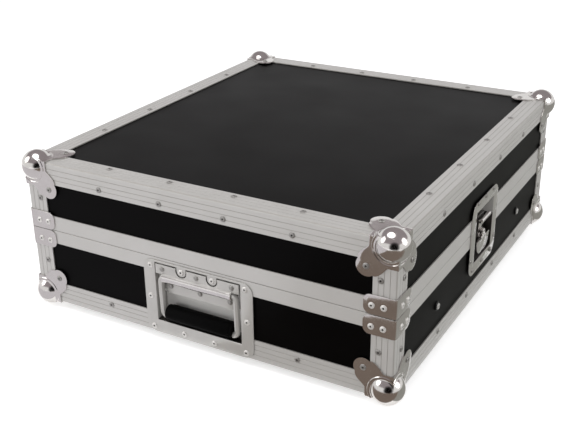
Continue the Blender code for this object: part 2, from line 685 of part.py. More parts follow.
# Hinge bracket: one strap with an upper plate, a rolled knuckle and a lower flap
knuckle_bore = ROD_RADIUS + ROD_CLEARANCE
knuckle_outer = knuckle_bore + KNUCKLE_WALL
bracket_top = opening_top - 2 * SEAT_GAP
upper_plate = box_mesh(
    "upper_plate", (-BRACKET_WIDTH / 2, plate_front, knuckle_height + knuckle_outer * 0.6),
    (BRACKET_WIDTH / 2, plate_front + BRACKET_THICKNESS, bracket_top))
flap_front = HANDLE_SHELF_DEPTH - SEAT_GAP - BRACKET_THICKNESS
bracket_steps = [
    ("UNION", cylinder_mesh(
        "knuckle", knuckle_outer, (-KNUCKLE_WIDTH / 2, KNUCKLE_DEPTH, knuckle_height),
        (KNUCKLE_WIDTH / 2, KNUCKLE_DEPTH, knuckle_height), 20)),
    ("UNION", box_mesh(
        "flap", (-BRACKET_FLAP_WIDTH / 2, flap_front, flap_bottom),
        (BRACKET_FLAP_WIDTH / 2, flap_front + BRACKET_THICKNESS, knuckle_height))),
    ("DIFFERENCE", cylinder_mesh(
        "bore", knuckle_bore, (-KNUCKLE_WIDTH, KNUCKLE_DEPTH, knuckle_height),
        (KNUCKLE_WIDTH, KNUCKLE_DEPTH, knuckle_height), 20))]
for sign in (-1, 1):
    radius = HANDLE_TAB_RADIUS + SEAT_GAP
    notch = rounded_rectangle(
        (sign * HANDLE_TAB_SPACING / 2 - radius, tab_height - radius),
        (sign * HANDLE_TAB_SPACING / 2 + radius, dish_top + 0.01),
        (radius * 0.98, radius * 0.98, 0, 0), 5)
    bracket_steps.append(("DIFFERENCE", prism_mesh("notch", [notch], -0.003, 0.004, width_and_height)))
bracket = smooth(combine("handle_hinge_bracket", upper_plate, bracket_steps))
link_part(bpy.data.objects.new("handle_hinge_bracket", bracket), zinc, front, base)

# Bail: one round rod whose ends turn into the knuckle and whose lower bar carries the grip
handle_axis = front @ Vector((0, KNUCKLE_DEPTH, knuckle_height))
handle_pivot = pivot("handle_pivot", handle_axis, base)


def rod_path():
    # Points relative to the hinge axis, as (width, depth, height), with filleted bends.
    half = BAIL_WIDTH / 2
    bar = (BAIL_BAR_DEPTH - KNUCKLE_DEPTH, bar_height - knuckle_height)
    corners = [
        Vector((-half + BAIL_END_LENGTH, 0, 0)), Vector((-half, 0, 0)), Vector((-half, *bar)),
        Vector((half, *bar)), Vector((half, 0, 0)), Vector((half - BAIL_END_LENGTH, 0, 0))]
    path = [corners[0]]
    for before, corner, after in zip(corners, corners[1:], corners[2:]):
        into = (corner - before).normalized()
        out = (after - corner).normalized()
        for i in range(5):
            t = i / 4
            start = corner - into * ROD_BEND_RADIUS
            end = corner + out * ROD_BEND_RADIUS
            path.append((1 - t) ** 2 * start + 2 * t * (1 - t) * corner + t * t * end)
    path.append(corners[-1])
    return path


rod_curve = bpy.data.curves.new("handle_bail", "CURVE")
rod_curve.dimensions = "3D"
rod_curve.bevel_depth = ROD_RADIUS
rod_curve.bevel_resolution = 2
rod_curve.use_fill_caps = True
rod_points = rod_path()
rod_spline = rod_curve.splines.new("POLY")
rod_spline.points.add(len(rod_points) - 1)
for point, position in zip(rod_spline.points, rod_points):
    point.co = (*position, 1.0)
rod_spline.use_smooth = True
bail = bpy.data.objects.new("handle_bail", rod_curve)
link_part(bail, zinc, Matrix.Translation(handle_axis), handle_pivot)


# Grip: ribbed rubber moulding round the lower bar, with a plain collar at each end
def grip_outline(radius, rib_depth):
    points = []
    for i in range(2 * GRIP_RIB_COUNT):
        angle = math.tau * i / (2 * GRIP_RIB_COUNT)
        r = radius if i % 2 == 0 else radius - rib_depth
        points.append((r * math.cos(angle), r * math.sin(angle)))
    return points


grip_turn = Matrix.Translation((0, GRIP_DEPTH - KNUCKLE_DEPTH, grip_height - knuckle_height)) @ depth_and_height
bar_offset = Vector((0, BAIL_BAR_DEPTH - KNUCKLE_DEPTH, bar_height - knuckle_height))
grip_middle = Vector((0, GRIP_DEPTH - KNUCKLE_DEPTH, grip_height - knuckle_height))
grip_half = GRIP_LENGTH / 2
grip_body = prism_mesh(
    "handle_grip", [grip_outline(GRIP_RADIUS, GRIP_RIB_DEPTH)], -grip_half, grip_half, grip_turn)
grip_reach = Vector((grip_half + GRIP_COLLAR_LENGTH, 0, 0))
grip = combine("handle_grip", grip_body, [
    ("UNION", cylinder_mesh("collar", GRIP_COLLAR_RADIUS, grip_middle - grip_reach, grip_middle + grip_reach, 20)),
    ("DIFFERENCE", cylinder_mesh(
        "rod_hole", ROD_RADIUS + SEAT_GAP, bar_offset - 2 * grip_reach, bar_offset + 2 * grip_reach, 16))])
link_part(bpy.data.objects.new("handle_grip", grip), rubber, Matrix.Translation(handle_axis), handle_pivot)


# Butterfly latches
def latch_outline(low, high, lower_radius, upper_radius):
    return rounded_rectangle(
        (-LATCH_DISH_WIDTH / 2, low), (LATCH_DISH_WIDTH / 2, high),
        (lower_radius, lower_radius, upper_radius, upper_radius), 4)


latch_half = LATCH_OPENING_WIDTH / 2


def base_dish_mesh():
    flange = prism_mesh(
        "flange", [latch_outline(-LATCH_DISH_DROP, -rim_face, LATCH_DISH_CORNER, 0)],
        -plate_back, -plate_front, width_and_height)

    def outline(grow, mouth, top):
        return [
            (mouth, -LATCH_OPENING_DROP - grow), (0.0, -LATCH_OPENING_DROP - grow),
            (LATCH_DEPTH + grow, -LATCH_OPENING_DROP + LATCH_BASE_SLOPE - grow),
            (LATCH_DEPTH + grow, top), (mouth, top)]

    outer = prism_mesh(
        "pan", [outline(HARDWARE_THICKNESS, plate_back, -rim_face)],
        -latch_half - HARDWARE_THICKNESS, latch_half + HARDWARE_THICKNESS, depth_and_height)
    inner = prism_mesh(
        "hollow", [outline(0.0, plate_front - 0.002, 0.01)], -latch_half, latch_half, depth_and_height)
    return combine("latch_dish", flange, [("UNION", outer), ("DIFFERENCE", inner)])


def keeper_mesh():
    flange = prism_mesh(
        "flange", [latch_outline(rim_face, LATCH_DISH_RISE, 0, LATCH_DISH_CORNER)],
        -plate_back, -plate_front, width_and_height)

    def outline(grow, mouth, low):
        return [
            (mouth, low), (LATCH_DEPTH + grow, low), (LATCH_DEPTH + grow, LATCH_SLOPE_FOOT + grow),
            (0.0, LATCH_OPENING_RISE + grow), (mouth, LATCH_OPENING_RISE + grow)]

    outer = prism_mesh(
        "pan", [outline(HARDWARE_THICKNESS, plate_back, rim_face)],
        -latch_half - HARDWARE_THICKNESS, latch_half + HARDWARE_THICKNESS, depth_and_height)
    inner = prism_mesh(
        "hollow", [outline(0.0, plate_front - 0.002, -0.01)], -latch_half, latch_half, depth_and_height)
    keeper_high = HOOK_LIP_HEIGHT - 2 * SEAT_GAP
    lip = box_mesh(
        "keeper", (-KEEPER_WIDTH / 2, HOOK_LIP_REACH + SEAT_GAP, keeper_high - KEEPER_THICKNESS),
        (KEEPER_WIDTH / 2, LATCH_DEPTH + HARDWARE_THICKNESS / 2, keeper_high))
    return combine("latch_keeper", flange, [("UNION", outer), ("DIFFERENCE", inner), ("UNION", lip)])


hook_front = SPINDLE_HEAD_DEPTH + SPINDLE_HEAD_THICKNESS + SEAT_GAP


def hook_mesh():
    # Heights here are from the spindle's axis.
    slot_half = SPINDLE_RADIUS + HOOK_SLOT_CLEARANCE
    lip_low = HOOK_LIP_HEIGHT + SPINDLE_DROP
    lip_high = lip_low + HOOK_LIP_THICKNESS
    slot = rounded_rectangle(
        (-slot_half, -slot_half - HOOK_TRAVEL), (slot_half, slot_half), (0.0025,) * 4, 3)
    plate = rounded_rectangle(
        (-HOOK_WIDTH / 2, -HOOK_TAIL), (HOOK_WIDTH / 2, lip_high), (0.004, 0.004, 0, 0), 3)
    waist_low = slot_half + 0.003
    body = prism_mesh(
        "hook", [plate, list(reversed(slot))], -hook_front - HOOK_THICKNESS, -hook_front, width_and_height)
    lip = box_mesh(
        "lip", (-HOOK_WIDTH / 2, hook_front + HOOK_THICKNESS / 2, lip_low), (HOOK_WIDTH / 2, HOOK_LIP_REACH, lip_high))
    roll = cylinder_mesh(
        "roll", HOOK_LIP_THICKNESS * 0.75, (-HOOK_WIDTH / 2, hook_front + 0.0006, lip_high - 0.0012),
        (HOOK_WIDTH / 2, hook_front + 0.0006, lip_high - 0.0012), 10)
    windows = []
    for sign in (-1, 1):
        middle = sign * HOOK_WIDTH * 0.28
        window = rounded_rectangle(
            (middle - 0.0032, waist_low + 0.004), (middle + 0.0032, waist_low + 0.012), (0.0015,) * 4, 2)
        windows.append(("DIFFERENCE", prism_mesh("window", [window], -0.02, 0.0, width_and_height)))
    return combine("latch_hook", body, [("UNION", lip), ("UNION", roll)] + windows)


def spindle_mesh():
    head = cylinder_mesh(
        "head", SPINDLE_HEAD_RADIUS, (0, SPINDLE_HEAD_DEPTH, 0), (0, SPINDLE_HEAD_DEPTH + SPINDLE_HEAD_THICKNESS, 0), 20)
    shaft = cylinder_mesh(
        "shaft", SPINDLE_RADIUS, (0, SPINDLE_HEAD_DEPTH + SPINDLE_HEAD_THICKNESS / 2, 0),
        (0, LATCH_DEPTH - SEAT_GAP, 0), 16)
    lug_half = WING_LUG_WIDTH / 2
    lug = box_mesh(
        "lug", (-lug_half, 0, -WING_KNUCKLE_RADIUS), (lug_half, SPINDLE_HEAD_DEPTH + 0.0006, WING_KNUCKLE_RADIUS))
    barrel = cylinder_mesh("barrel", WING_KNUCKLE_RADIUS, (-lug_half, 0, 0), (lug_half, 0, 0), 12)
    pin_half = lug_half + WING_KNUCKLE_LENGTH
    pin = cylinder_mesh("pin", WING_PIN_RADIUS, (-pin_half, 0, 0), (pin_half, 0, 0), 10)
    return smooth(combine("latch_spindle", head, [
        ("UNION", shaft), ("UNION", lug), ("UNION", barrel), ("UNION", pin)]))


def wing_mesh():
    outline = []
    for i in range(21):
        angle = math.pi * (i / 20)
        waist = 1 - 0.24 * math.exp(-((math.degrees(angle) - 90) / 26) ** 2)
        outline.append((WING_RADIUS * waist * math.cos(angle), -WING_RADIUS * waist * math.sin(angle)))
    outline = [(x, y - 0.0004) for x, y in outline]
    leaf = prism_mesh("leaf", [outline], -WING_THICKNESS / 2, WING_THICKNESS / 2, width_and_height)
    lug_half = WING_LUG_WIDTH / 2 + SEAT_GAP
    knuckle_end = lug_half + WING_KNUCKLE_LENGTH
    clear = WING_KNUCKLE_RADIUS + 2 * SEAT_GAP
    shoulder = box_mesh("notch", (-lug_half, -0.01, -clear), (lug_half, 0.01, 0.01))
    bore = cylinder_mesh(
        "bore", WING_PIN_RADIUS + WING_PIN_CLEARANCE, (-knuckle_end - 0.001, 0, 0), (knuckle_end + 0.001, 0, 0), 12)
    barrel = cylinder_mesh("barrel", WING_KNUCKLE_RADIUS, (-knuckle_end, 0, 0), (knuckle_end, 0, 0), 12)
    return smooth(combine("latch_wing", leaf, [
        ("UNION", barrel), ("DIFFERENCE", shoulder), ("DIFFERENCE", bore)]))


latch_meshes = {
    "dish": base_dish_mesh(), "keeper": keeper_mesh(), "hook": hook_mesh(),
    "spindle": spindle_mesh(), "wing": wing_mesh()}
for side in ("right", "left"):
    at_seam = face_frame(side, seam)
    at_spindle = face_frame(side, seam - SPINDLE_DROP)
    spindle_pivot = pivot("latch_spindle_pivot_" + side, at_spindle.translation, base)
    link_part(bpy.data.objects.new("latch_dish_" + side, latch_meshes["dish"]), zinc, at_seam, base)
    link_part(bpy.data.objects.new("latch_keeper_" + side, latch_meshes["keeper"]), zinc, at_seam, lid)
    link_part(bpy.data.objects.new("latch_hook_" + side, latch_meshes["hook"]), zinc, at_spindle, base)
    link_part(bpy.data.objects.new("latch_spindle_" + side, latch_meshes["spindle"]), zinc, at_spindle, spindle_pivot)
    link_part(bpy.data.objects.new("latch_wing_" + side, latch_meshes["wing"]), zinc, at_spindle, spindle_pivot)

# Slanted cheeks inside the base, and the rack rails that lie on them
rail_length = RAIL_UNITS * RACK_UNIT
slope_tangent = math.tan(RACK_SLOPE)
cheek_end = half_depth - lining_start
cheek_bottom = case_bottom + lining_start
rail_middle_height = seam - RAIL_FRONT_DROP + rail_length / 2 * math.sin(RACK_SLOPE)
cheek_outer = half_width - lining_start
cheek_inner = cheek_outer - CHEEK_THICKNESS


def slope_height(y, offset):
    # Height of the slope at depth y, moved square to the slope by the offset.
    return rail_middle_height + y * slope_tangent + offset / math.cos(RACK_SLOPE)


cheek_outline = [
    (-cheek_end, cheek_bottom), (cheek_end, cheek_bottom),
    (cheek_end, slope_height(cheek_end, 0)), (-cheek_end, slope_height(-cheek_end, 0))]
rail_turn = Matrix.Rotation(RACK_SLOPE, 4, "X")
hole_half = RAIL_HOLE / 2
for side, sign in (("right", 1), ("left", -1)):
    name = "rack_cheek_" + side
    xs = sorted((sign * cheek_inner, sign * cheek_outer))
    cheek = prism_mesh(name, [cheek_outline], xs[0], xs[1], depth_and_height)
    notch_half = latch_cut_half + CHEEK_NOTCH_CLEARANCE
    notch = box_mesh(
        "notch", (sign * half_width - through, -notch_half, latch_cut_bottom - CHEEK_NOTCH_CLEARANCE),
        (sign * half_width + through, notch_half, case_top))
    cheek = combine(name, cheek, [
        ("DIFFERENCE", notch), ("DIFFERENCE", bolt_cutter(sign, BOLT_FRONT)),
        ("DIFFERENCE", bolt_cutter(sign, BOLT_BACK))])
    link_part(bpy.data.objects.new(name, cheek), birch, parent=base)

    # The rail's own frame: X outwards across its holes, Y up the slope, Z square to the slope.
    face_outer = cheek_inner - SEAT_GAP
    face_inner = face_outer - RAIL_FACE_WIDTH
    hole_x = face_outer - RAIL_HOLE_MARGIN
    holes = []
    for unit in range(RAIL_UNITS):
        for offset in RAIL_HOLE_OFFSETS:
            y = -rail_length / 2 + unit * RACK_UNIT + offset
            holes.append([
                (hole_x - hole_half, y - hole_half), (hole_x - hole_half, y + hole_half),
                (hole_x + hole_half, y + hole_half), (hole_x + hole_half, y - hole_half)])
    face_outline = [
        (face_inner, -rail_length / 2), (face_outer, -rail_length / 2),
        (face_outer, rail_length / 2), (face_inner, rail_length / 2)]
    rail = prism_mesh("rack_rail", [face_outline] + holes, -RAIL_THICKNESS, 0.0)
    rail = combine("rack_rail_" + side, rail, [("UNION", box_mesh(
        "web", (face_outer - RAIL_THICKNESS, -rail_length / 2, -RAIL_DEPTH),
        (face_outer, rail_length / 2, -RAIL_THICKNESS / 2)))])
    mirror = Matrix.Diagonal((sign, 1, 1, 1))
    if sign < 0:
        bm = bmesh.new()
        bm.from_mesh(rail)
        bmesh.ops.transform(bm, matrix=mirror, verts=bm.verts)
        bmesh.ops.reverse_faces(bm, faces=bm.faces)
        bm.to_mesh(rail)
        bm.free()
    matrix = Matrix.Translation((0, 0, rail_middle_height)) @ rail_turn
    link_part(bpy.data.objects.new("rack_rail_" + side, rail), rail_steel, matrix, base)

# Foam pad under the lid's roof
foam_x = half_width - INNER_FLANGE_WIDTH - 2 * SEAT_GAP
foam_y = half_depth - INNER_FLANGE_WIDTH - 2 * SEAT_GAP
foam_top = case_top - panel_back - SEAT_GAP
link_part(bpy.data.objects.new("lid_foam_pad", box_mesh(
    "lid_foam_pad", (-foam_x, -foam_y, foam_top - FOAM_THICKNESS), (foam_x, foam_y, foam_top))), foam, parent=lid)

bpy.context.view_layer.update()
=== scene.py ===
# Slant mixer flight case: the finish of every surface, built round the frame's solids.
# Metres throughout. +X is the case's right, -Y its front with the handle, +Z is up.
import math

import bmesh
import bpy
from mathutils import Matrix, Vector


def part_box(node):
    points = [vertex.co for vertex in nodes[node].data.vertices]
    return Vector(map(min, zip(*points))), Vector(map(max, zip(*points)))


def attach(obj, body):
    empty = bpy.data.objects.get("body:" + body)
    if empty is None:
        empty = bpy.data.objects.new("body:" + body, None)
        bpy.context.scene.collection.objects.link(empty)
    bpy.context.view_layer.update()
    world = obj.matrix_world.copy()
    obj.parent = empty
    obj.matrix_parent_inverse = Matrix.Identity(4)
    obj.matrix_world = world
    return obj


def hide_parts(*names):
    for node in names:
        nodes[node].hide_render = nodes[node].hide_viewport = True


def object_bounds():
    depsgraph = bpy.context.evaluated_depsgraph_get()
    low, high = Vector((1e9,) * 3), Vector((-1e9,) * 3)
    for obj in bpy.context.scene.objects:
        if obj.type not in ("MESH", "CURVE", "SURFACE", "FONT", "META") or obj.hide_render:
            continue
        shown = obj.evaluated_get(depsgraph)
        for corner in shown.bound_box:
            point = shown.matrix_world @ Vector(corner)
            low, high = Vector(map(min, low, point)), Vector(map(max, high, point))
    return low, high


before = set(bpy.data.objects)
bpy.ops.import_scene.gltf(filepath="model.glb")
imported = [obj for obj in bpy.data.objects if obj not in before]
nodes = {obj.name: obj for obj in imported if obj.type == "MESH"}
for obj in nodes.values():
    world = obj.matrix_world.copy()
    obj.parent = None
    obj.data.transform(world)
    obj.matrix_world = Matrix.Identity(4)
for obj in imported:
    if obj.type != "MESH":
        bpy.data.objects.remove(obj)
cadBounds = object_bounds()

# the case's own planes, read from the frame
halfWidth, halfDepth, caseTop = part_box("top_edge_extrusion")[1]
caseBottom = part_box("bottom_edge_extrusion")[0][2]
rimGap = 0.0005        # between the lid's rim and the base's
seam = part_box("lid_rim_back")[0][2] - rimGap / 2
seat = 0.0003          # gap between a plate and what it is riveted to
sheet = 0.0012         # pressed steel sheet
skin = seat + sheet    # outer face of a plate, proud of the extrusion
print("frame loaded")


# stage: pale floor, soft lamps, the photograph's camera
stageSettings = {
    "eye": (0.61411854, -1.15626537, 0.66233337),
    "turn": (65.62694592, 0.41285539, 29.11925773),
    "lens": 59.03,
    "sensor": 36.0,
    "ambient": "#f6f6f8",
    "ambientLevel": 0.50,
    "floor": "#f4f4f4",
    "floorLift": 0.50,
    "floorSize": 14.0,
    "lamps": (
        # name, place, aim, width, height, watts, whether bright metal shows it
        ("overheadSoftbox", (-0.2, -0.5, 2.0), (0.0, 0.0, 0.1), 1.5, 1.1, 15.0, True),
        ("leftSoftbox", (-2.0, -1.4, 1.5), (0.0, 0.0, 0.1), 1.2, 1.4, 15.0, True),
        ("rightSoftbox", (2.3, 0.2, 1.2), (0.0, 0.0, 0.1), 1.2, 1.4, 18.0, True),
        ("frontFill", (-0.4, -2.8, 0.7), (0.0, 0.0, 0.1), 1.6, 1.0, 14.0, False),
    ),
    # coloured cards out of the picture, seen only in the bright metal
    "cards": (
        # name, place, aim, width, height, colour
        ("ceilingCard", (0.0, 0.0, 3.0), (0.0, 0.0, 0.0), 12.0, 12.0, "#a29a9d"),
        ("cameraSideCard", (0.95, -1.75, 0.50), (0.0, 0.0, 0.15), 2.4, 2.2, "#0c0b0b"),
        ("brownTableCard", (0.56, -0.856, 0.002), (0.56, -0.856, 1.0), 1.10, 1.09, "#85786f"),
        ("leftTableCard", (-0.90, -1.088, 0.001), (-0.90, -1.088, 1.0), 1.80, 1.55, "#e6e3e8"),
        ("sideTableCard", (1.381, 0.60, 0.001), (1.381, 0.60, 1.0), 2.20, 2.60, "#a6a6a1"),
    ),
    "softCards": ("cameraSideCard",),
}


def linear(hexColour):
    # sRGB hex to the linear values that a shader reads
    values = []
    for start in (1, 3, 5):
        c = int(hexColour[start:start + 2], 16) / 255
        values.append(c / 12.92 if c <= 0.04045 else ((c + 0.055) / 1.055) ** 2.4)
    return (*values, 1.0)


def connect(tree, source, socket):
    # source is a node and one of its outputs
    node, output = source
    tree.links.new(node.outputs[output], socket)


def addNode(tree, kind, values=None, links=None, **settings):
    node = tree.nodes.new(kind)
    for key, value in settings.items():
        setattr(node, key, value)
    for key, value in (values or {}).items():
        node.inputs[key].default_value = value
    for key, source in (links or {}).items():
        connect(tree, source, node.inputs[key])
    return node


def addMath(tree, operation, *terms):
    # each term is a number, or the node and output that feed it
    node = addNode(tree, "ShaderNodeMath", operation=operation)
    for socket, term in zip(node.inputs, terms):
        if isinstance(term, tuple):
            connect(tree, term, socket)
        else:
            socket.default_value = term
    return node, 0


def notDiffuse(tree):
    # 1 for what the camera sees, straight, mirrored or through glass
    rays = addNode(tree, "ShaderNodeLightPath")
    seen = addMath(tree, "MAXIMUM", (rays, "Is Camera Ray"), (rays, "Is Glossy Ray"))
    return addMath(tree, "MAXIMUM", seen, (rays, "Is Transmission Ray"))


def plainMaterial(name, values):
    # the values are given by the names of the shader's inputs
    material = bpy.data.materials.new(name)
    material.use_nodes = True
    tree = material.node_tree
    shader = tree.nodes["Principled BSDF"]
    for key, value in values.items():
        shader.inputs[key].default_value = value
    return material, tree, shader


def turned(place, aim, axis):
    # the turn that points an axis from place to aim
    return (Vector(aim) - Vector(place)).to_track_quat(axis, "Y").to_euler()


def setWorld(s):
    world = bpy.data.worlds.new("studioWorld")
    bpy.context.scene.world = world
    world.use_nodes = True
    tree = world.node_tree
    tree.nodes.clear()
    seen = notDiffuse(tree)
    white = addNode(tree, "ShaderNodeBackground", {"Color": linear("#ffffff"), "Strength": 1.0})
    ambient = addNode(tree, "ShaderNodeBackground",
                      {"Color": linear(s["ambient"]), "Strength": s["ambientLevel"]})
    mix = addNode(tree, "ShaderNodeMixShader", links={0: seen, 1: (ambient, 0), 2: (white, 0)})
    addNode(tree, "ShaderNodeOutputWorld", links={"Surface": (mix, 0)})


def setLamps(s):
    for name, place, aim, width, height, watts, mirrored in s["lamps"]:
        bpy.ops.object.light_add(type="AREA", location=place)
        lamp = bpy.context.object
        lamp.name = name
        lamp.data.shape = "ELLIPSE"
        lamp.data.size = width
        lamp.data.size_y = height
        lamp.data.energy = watts
        lamp.visible_glossy = mirrored
        lamp.rotation_euler = turned(place, aim, "-Z")


def setFloor(s):
    # pale, and lifted to white where no shadow falls on it
    bpy.ops.mesh.primitive_plane_add(size=s["floorSize"], location=(0, 0, 0))
    floor = bpy.context.object
    floor.name = "floor"
    material, tree, shader = plainMaterial("paleFloor", {
        "Base Color": linear(s["floor"]), "Roughness": 0.9, "Emission Color": linear("#ffffff")})
    lift = addMath(tree, "MULTIPLY", notDiffuse(tree), s["floorLift"])
    connect(tree, lift, shader.inputs["Emission Strength"])
    # seen from below, the floor is clear, so that the underside can be looked at
    clear = addNode(tree, "ShaderNodeBsdfTransparent")
    side = addNode(tree, "ShaderNodeNewGeometry")
    path = addNode(tree, "ShaderNodeLightPath")
    below = addMath(tree, "MULTIPLY", (side, "Backfacing"), (path, "Is Camera Ray"))
    mix = addNode(tree, "ShaderNodeMixShader", links={0: below, 1: (shader, 0), 2: (clear, 0)})
    connect(tree, (mix, 0), tree.nodes["Material Output"].inputs["Surface"])
    floor.data.materials.append(material)


def setCards(s):
    for name, place, aim, width, height, colour in s["cards"]:
        bpy.ops.mesh.primitive_plane_add(size=1, location=place)
        card = bpy.context.object
        card.name = name
        card.scale = (width, height, 1)
        card.rotation_euler = turned(place, aim, "Z")
        material, tree, shader = plainMaterial(name, {
            "Base Color": (0, 0, 0, 1), "Specular IOR Level": 0.0,
            "Emission Color": linear(colour), "Emission Strength": 1.0})
        if name in s["softCards"]:
            # fades out towards its rim, as an out-of-focus thing does
            spot = addNode(tree, "ShaderNodeTexCoord")
            reach = addNode(tree, "ShaderNodeVectorMath", operation="LENGTH",
                            links={0: (spot, "Object")})
            fade = addNode(tree, "ShaderNodeMapRange", {"From Min": 0.5, "From Max": 0.28},
                           {"Value": (reach, "Value")})
            connect(tree, (fade, 0), shader.inputs["Alpha"])
        card.data.materials.append(material)
        card.visible_camera = False
        card.visible_diffuse = False
        card.visible_shadow = False


def setCamera(s):
    turn = [math.radians(angle) for angle in s["turn"]]
    bpy.ops.object.camera_add(location=s["eye"], rotation=turn)
    camera = bpy.context.object
    camera.data.lens = s["lens"]
    camera.data.sensor_width = s["sensor"]
    camera.data.sensor_fit = "HORIZONTAL"
    bpy.context.scene.camera = camera
    bpy.context.scene.view_settings.view_transform = "Standard"


setWorld(stageSettings)
setLamps(stageSettings)
setFloor(stageSettings)
setCards(stageSettings)
setCamera(stageSettings)
print("stage set")


# materials
def newMaterial(name, colour, roughness, metallic=0.0):
    material, tree, shader = plainMaterial(name, {
        "Base Color": linear(colour), "Roughness": roughness, "Metallic": metallic})
    material.diffuse_color = linear(colour)
    place = addNode(tree, "ShaderNodeTexCoord")
    return material, tree, shader, (place, "Object")


def noise(tree, spot, scale, detail):
    return addNode(tree, "ShaderNodeTexNoise", {"Scale": scale, "Detail": detail},
                   {"Vector": spot}), "Fac"


def between(tree, drive, low, high):
    # a colour between two tones, as the pattern drives it
    tint = addNode(tree, "ShaderNodeMix", data_type="RGBA", links={0: drive})
    tint.inputs[6].default_value = linear(low)
    tint.inputs[7].default_value = linear(high)
    return tint, 2


def setShine(tree, shader, drive, low, high):
    shine = addNode(tree, "ShaderNodeMapRange", {"To Min": low, "To Max": high}, {"Value": drive})
    connect(tree, (shine, 0), shader.inputs["Roughness"])


def setRelief(tree, shader, drive, strength, distance):
    bump = addNode(tree, "ShaderNodeBump", {"Strength": strength, "Distance": distance},
                   {"Height": drive})
    connect(tree, (bump, 0), shader.inputs["Normal"])


def makeLaminate():
    # phenolic laminate hot-pressed on plywood: deep black with a satin, faintly pebbled skin
    material, tree, shader, spot = newMaterial("blackPhenolicLaminate", "#040303", 0.42)
    shader.inputs["Specular IOR Level"].default_value = 0.05
    clouds = noise(tree, spot, 9.0, 4.0)
    connect(tree, between(tree, clouds, "#010101", "#060505"), shader.inputs["Base Color"])
    setShine(tree, shader, clouds, 0.36, 0.50)
    # pebble of about 1.6 mm, coarser than the real 0.5 mm so that it shows
    pebble = addNode(tree, "ShaderNodeTexVoronoi", {"Scale": 1 / 0.0016}, {"Vector": spot},
                     feature="SMOOTH_F1")
    setRelief(tree, shader, (pebble, "Distance"), 0.10, 0.0002)
    return material


def makeExtrusion():
    # satin anodised aluminium: die lines run along each length, and turn at the mitres
    material, tree, shader, spot = newMaterial("satinAnodisedAluminium", "#c2c0bc", 0.40, 0.30)
    split = addNode(tree, "ShaderNodeSeparateXYZ", links={0: spot})
    x, y, z = (split, "X"), (split, "Y"), (split, "Z")
    sideInset = addMath(tree, "SUBTRACT", halfWidth, addMath(tree, "ABSOLUTE", x))
    frontInset = addMath(tree, "SUBTRACT", halfDepth, addMath(tree, "ABSOLUTE", y))
    onSide = addMath(tree, "LESS_THAN", sideInset, frontInset)
    across = addNode(tree, "ShaderNodeMix", data_type="FLOAT", links={0: onSide, 2: y, 3: x})
    along = addNode(tree, "ShaderNodeMix", data_type="FLOAT", links={0: onSide, 2: x, 3: y})
    longWay = addMath(tree, "MULTIPLY", (along, 0), 0.01)
    lined = addNode(tree, "ShaderNodeCombineXYZ", links={0: (across, 0), 1: longWay, 2: z})
    # die lines of 1.4 mm and finer, coarser than the real ones so that they show
    lines = noise(tree, (lined, 0), 1 / 0.0014, 3.0)
    tint = between(tree, noise(tree, spot, 14.0, 3.0), "#b8b6b2", "#c5c3c0")
    # depth below the case's outer faces: the grooves lie 0.4 mm down and get painted shade
    least = addMath(tree, "MINIMUM", sideInset, frontInset)
    least = addMath(tree, "MINIMUM", least, addMath(tree, "SUBTRACT", caseTop, z))
    least = addMath(tree, "MINIMUM", least, addMath(tree, "SUBTRACT", z, caseBottom))
    down = addNode(tree, "ShaderNodeMapRange", {"From Min": 0.0001, "From Max": 0.00035},
                   {"Value": least})
    back = addNode(tree, "ShaderNodeMapRange", {"From Min": 0.0020, "From Max": 0.0008},
                   {"Value": least})
    grooveShadeMask = addMath(tree, "MULTIPLY", (down, 0), (back, 0))
    # painted shade: the grooves turn to the darker grey #a6a39e
    shadedGrooveTone = addNode(tree, "ShaderNodeMix", data_type="RGBA", links={0: grooveShadeMask, 6: tint})
    shadedGrooveTone.inputs[7].default_value = linear("#a6a39e")
    connect(tree, (shadedGrooveTone, 2), shader.inputs["Base Color"])
    setShine(tree, shader, lines, 0.38, 0.47)
    setRelief(tree, shader, lines, 0.08, 0.0003)
    return material


def makeMetal(name, colour, darker, roughness, handling, metallic=1.0, ripples=0.04):
    # pressed, drawn or turned metal: handling clouds its shine, and 6 mm ripples bend its mirror
    material, tree, shader, spot = newMaterial(name, colour, roughness, metallic)
    clouds = noise(tree, spot, 45.0, 5.0)
    connect(tree, between(tree, clouds, darker, colour), shader.inputs["Base Color"])
    setShine(tree, shader, clouds, roughness, roughness + handling)
    setRelief(tree, shader, noise(tree, spot, 1 / 0.006, 2.0), ripples, 0.0005)
    return material


def makeRubber():
    # injection-moulded grip rubber: matte, with a spark-eroded grain drawn coarse, 0.9 mm
    material, tree, shader, spot = newMaterial("mouldedRubber", "#030303", 0.66)
    shader.inputs["Specular IOR Level"].default_value = 0.05
    grain = noise(tree, spot, 1 / 0.0009, 3.0)
    connect(tree, between(tree, grain, "#020202", "#060606"), shader.inputs["Base Color"])
    setRelief(tree, shader, grain, 0.25, 0.0002)
    return material


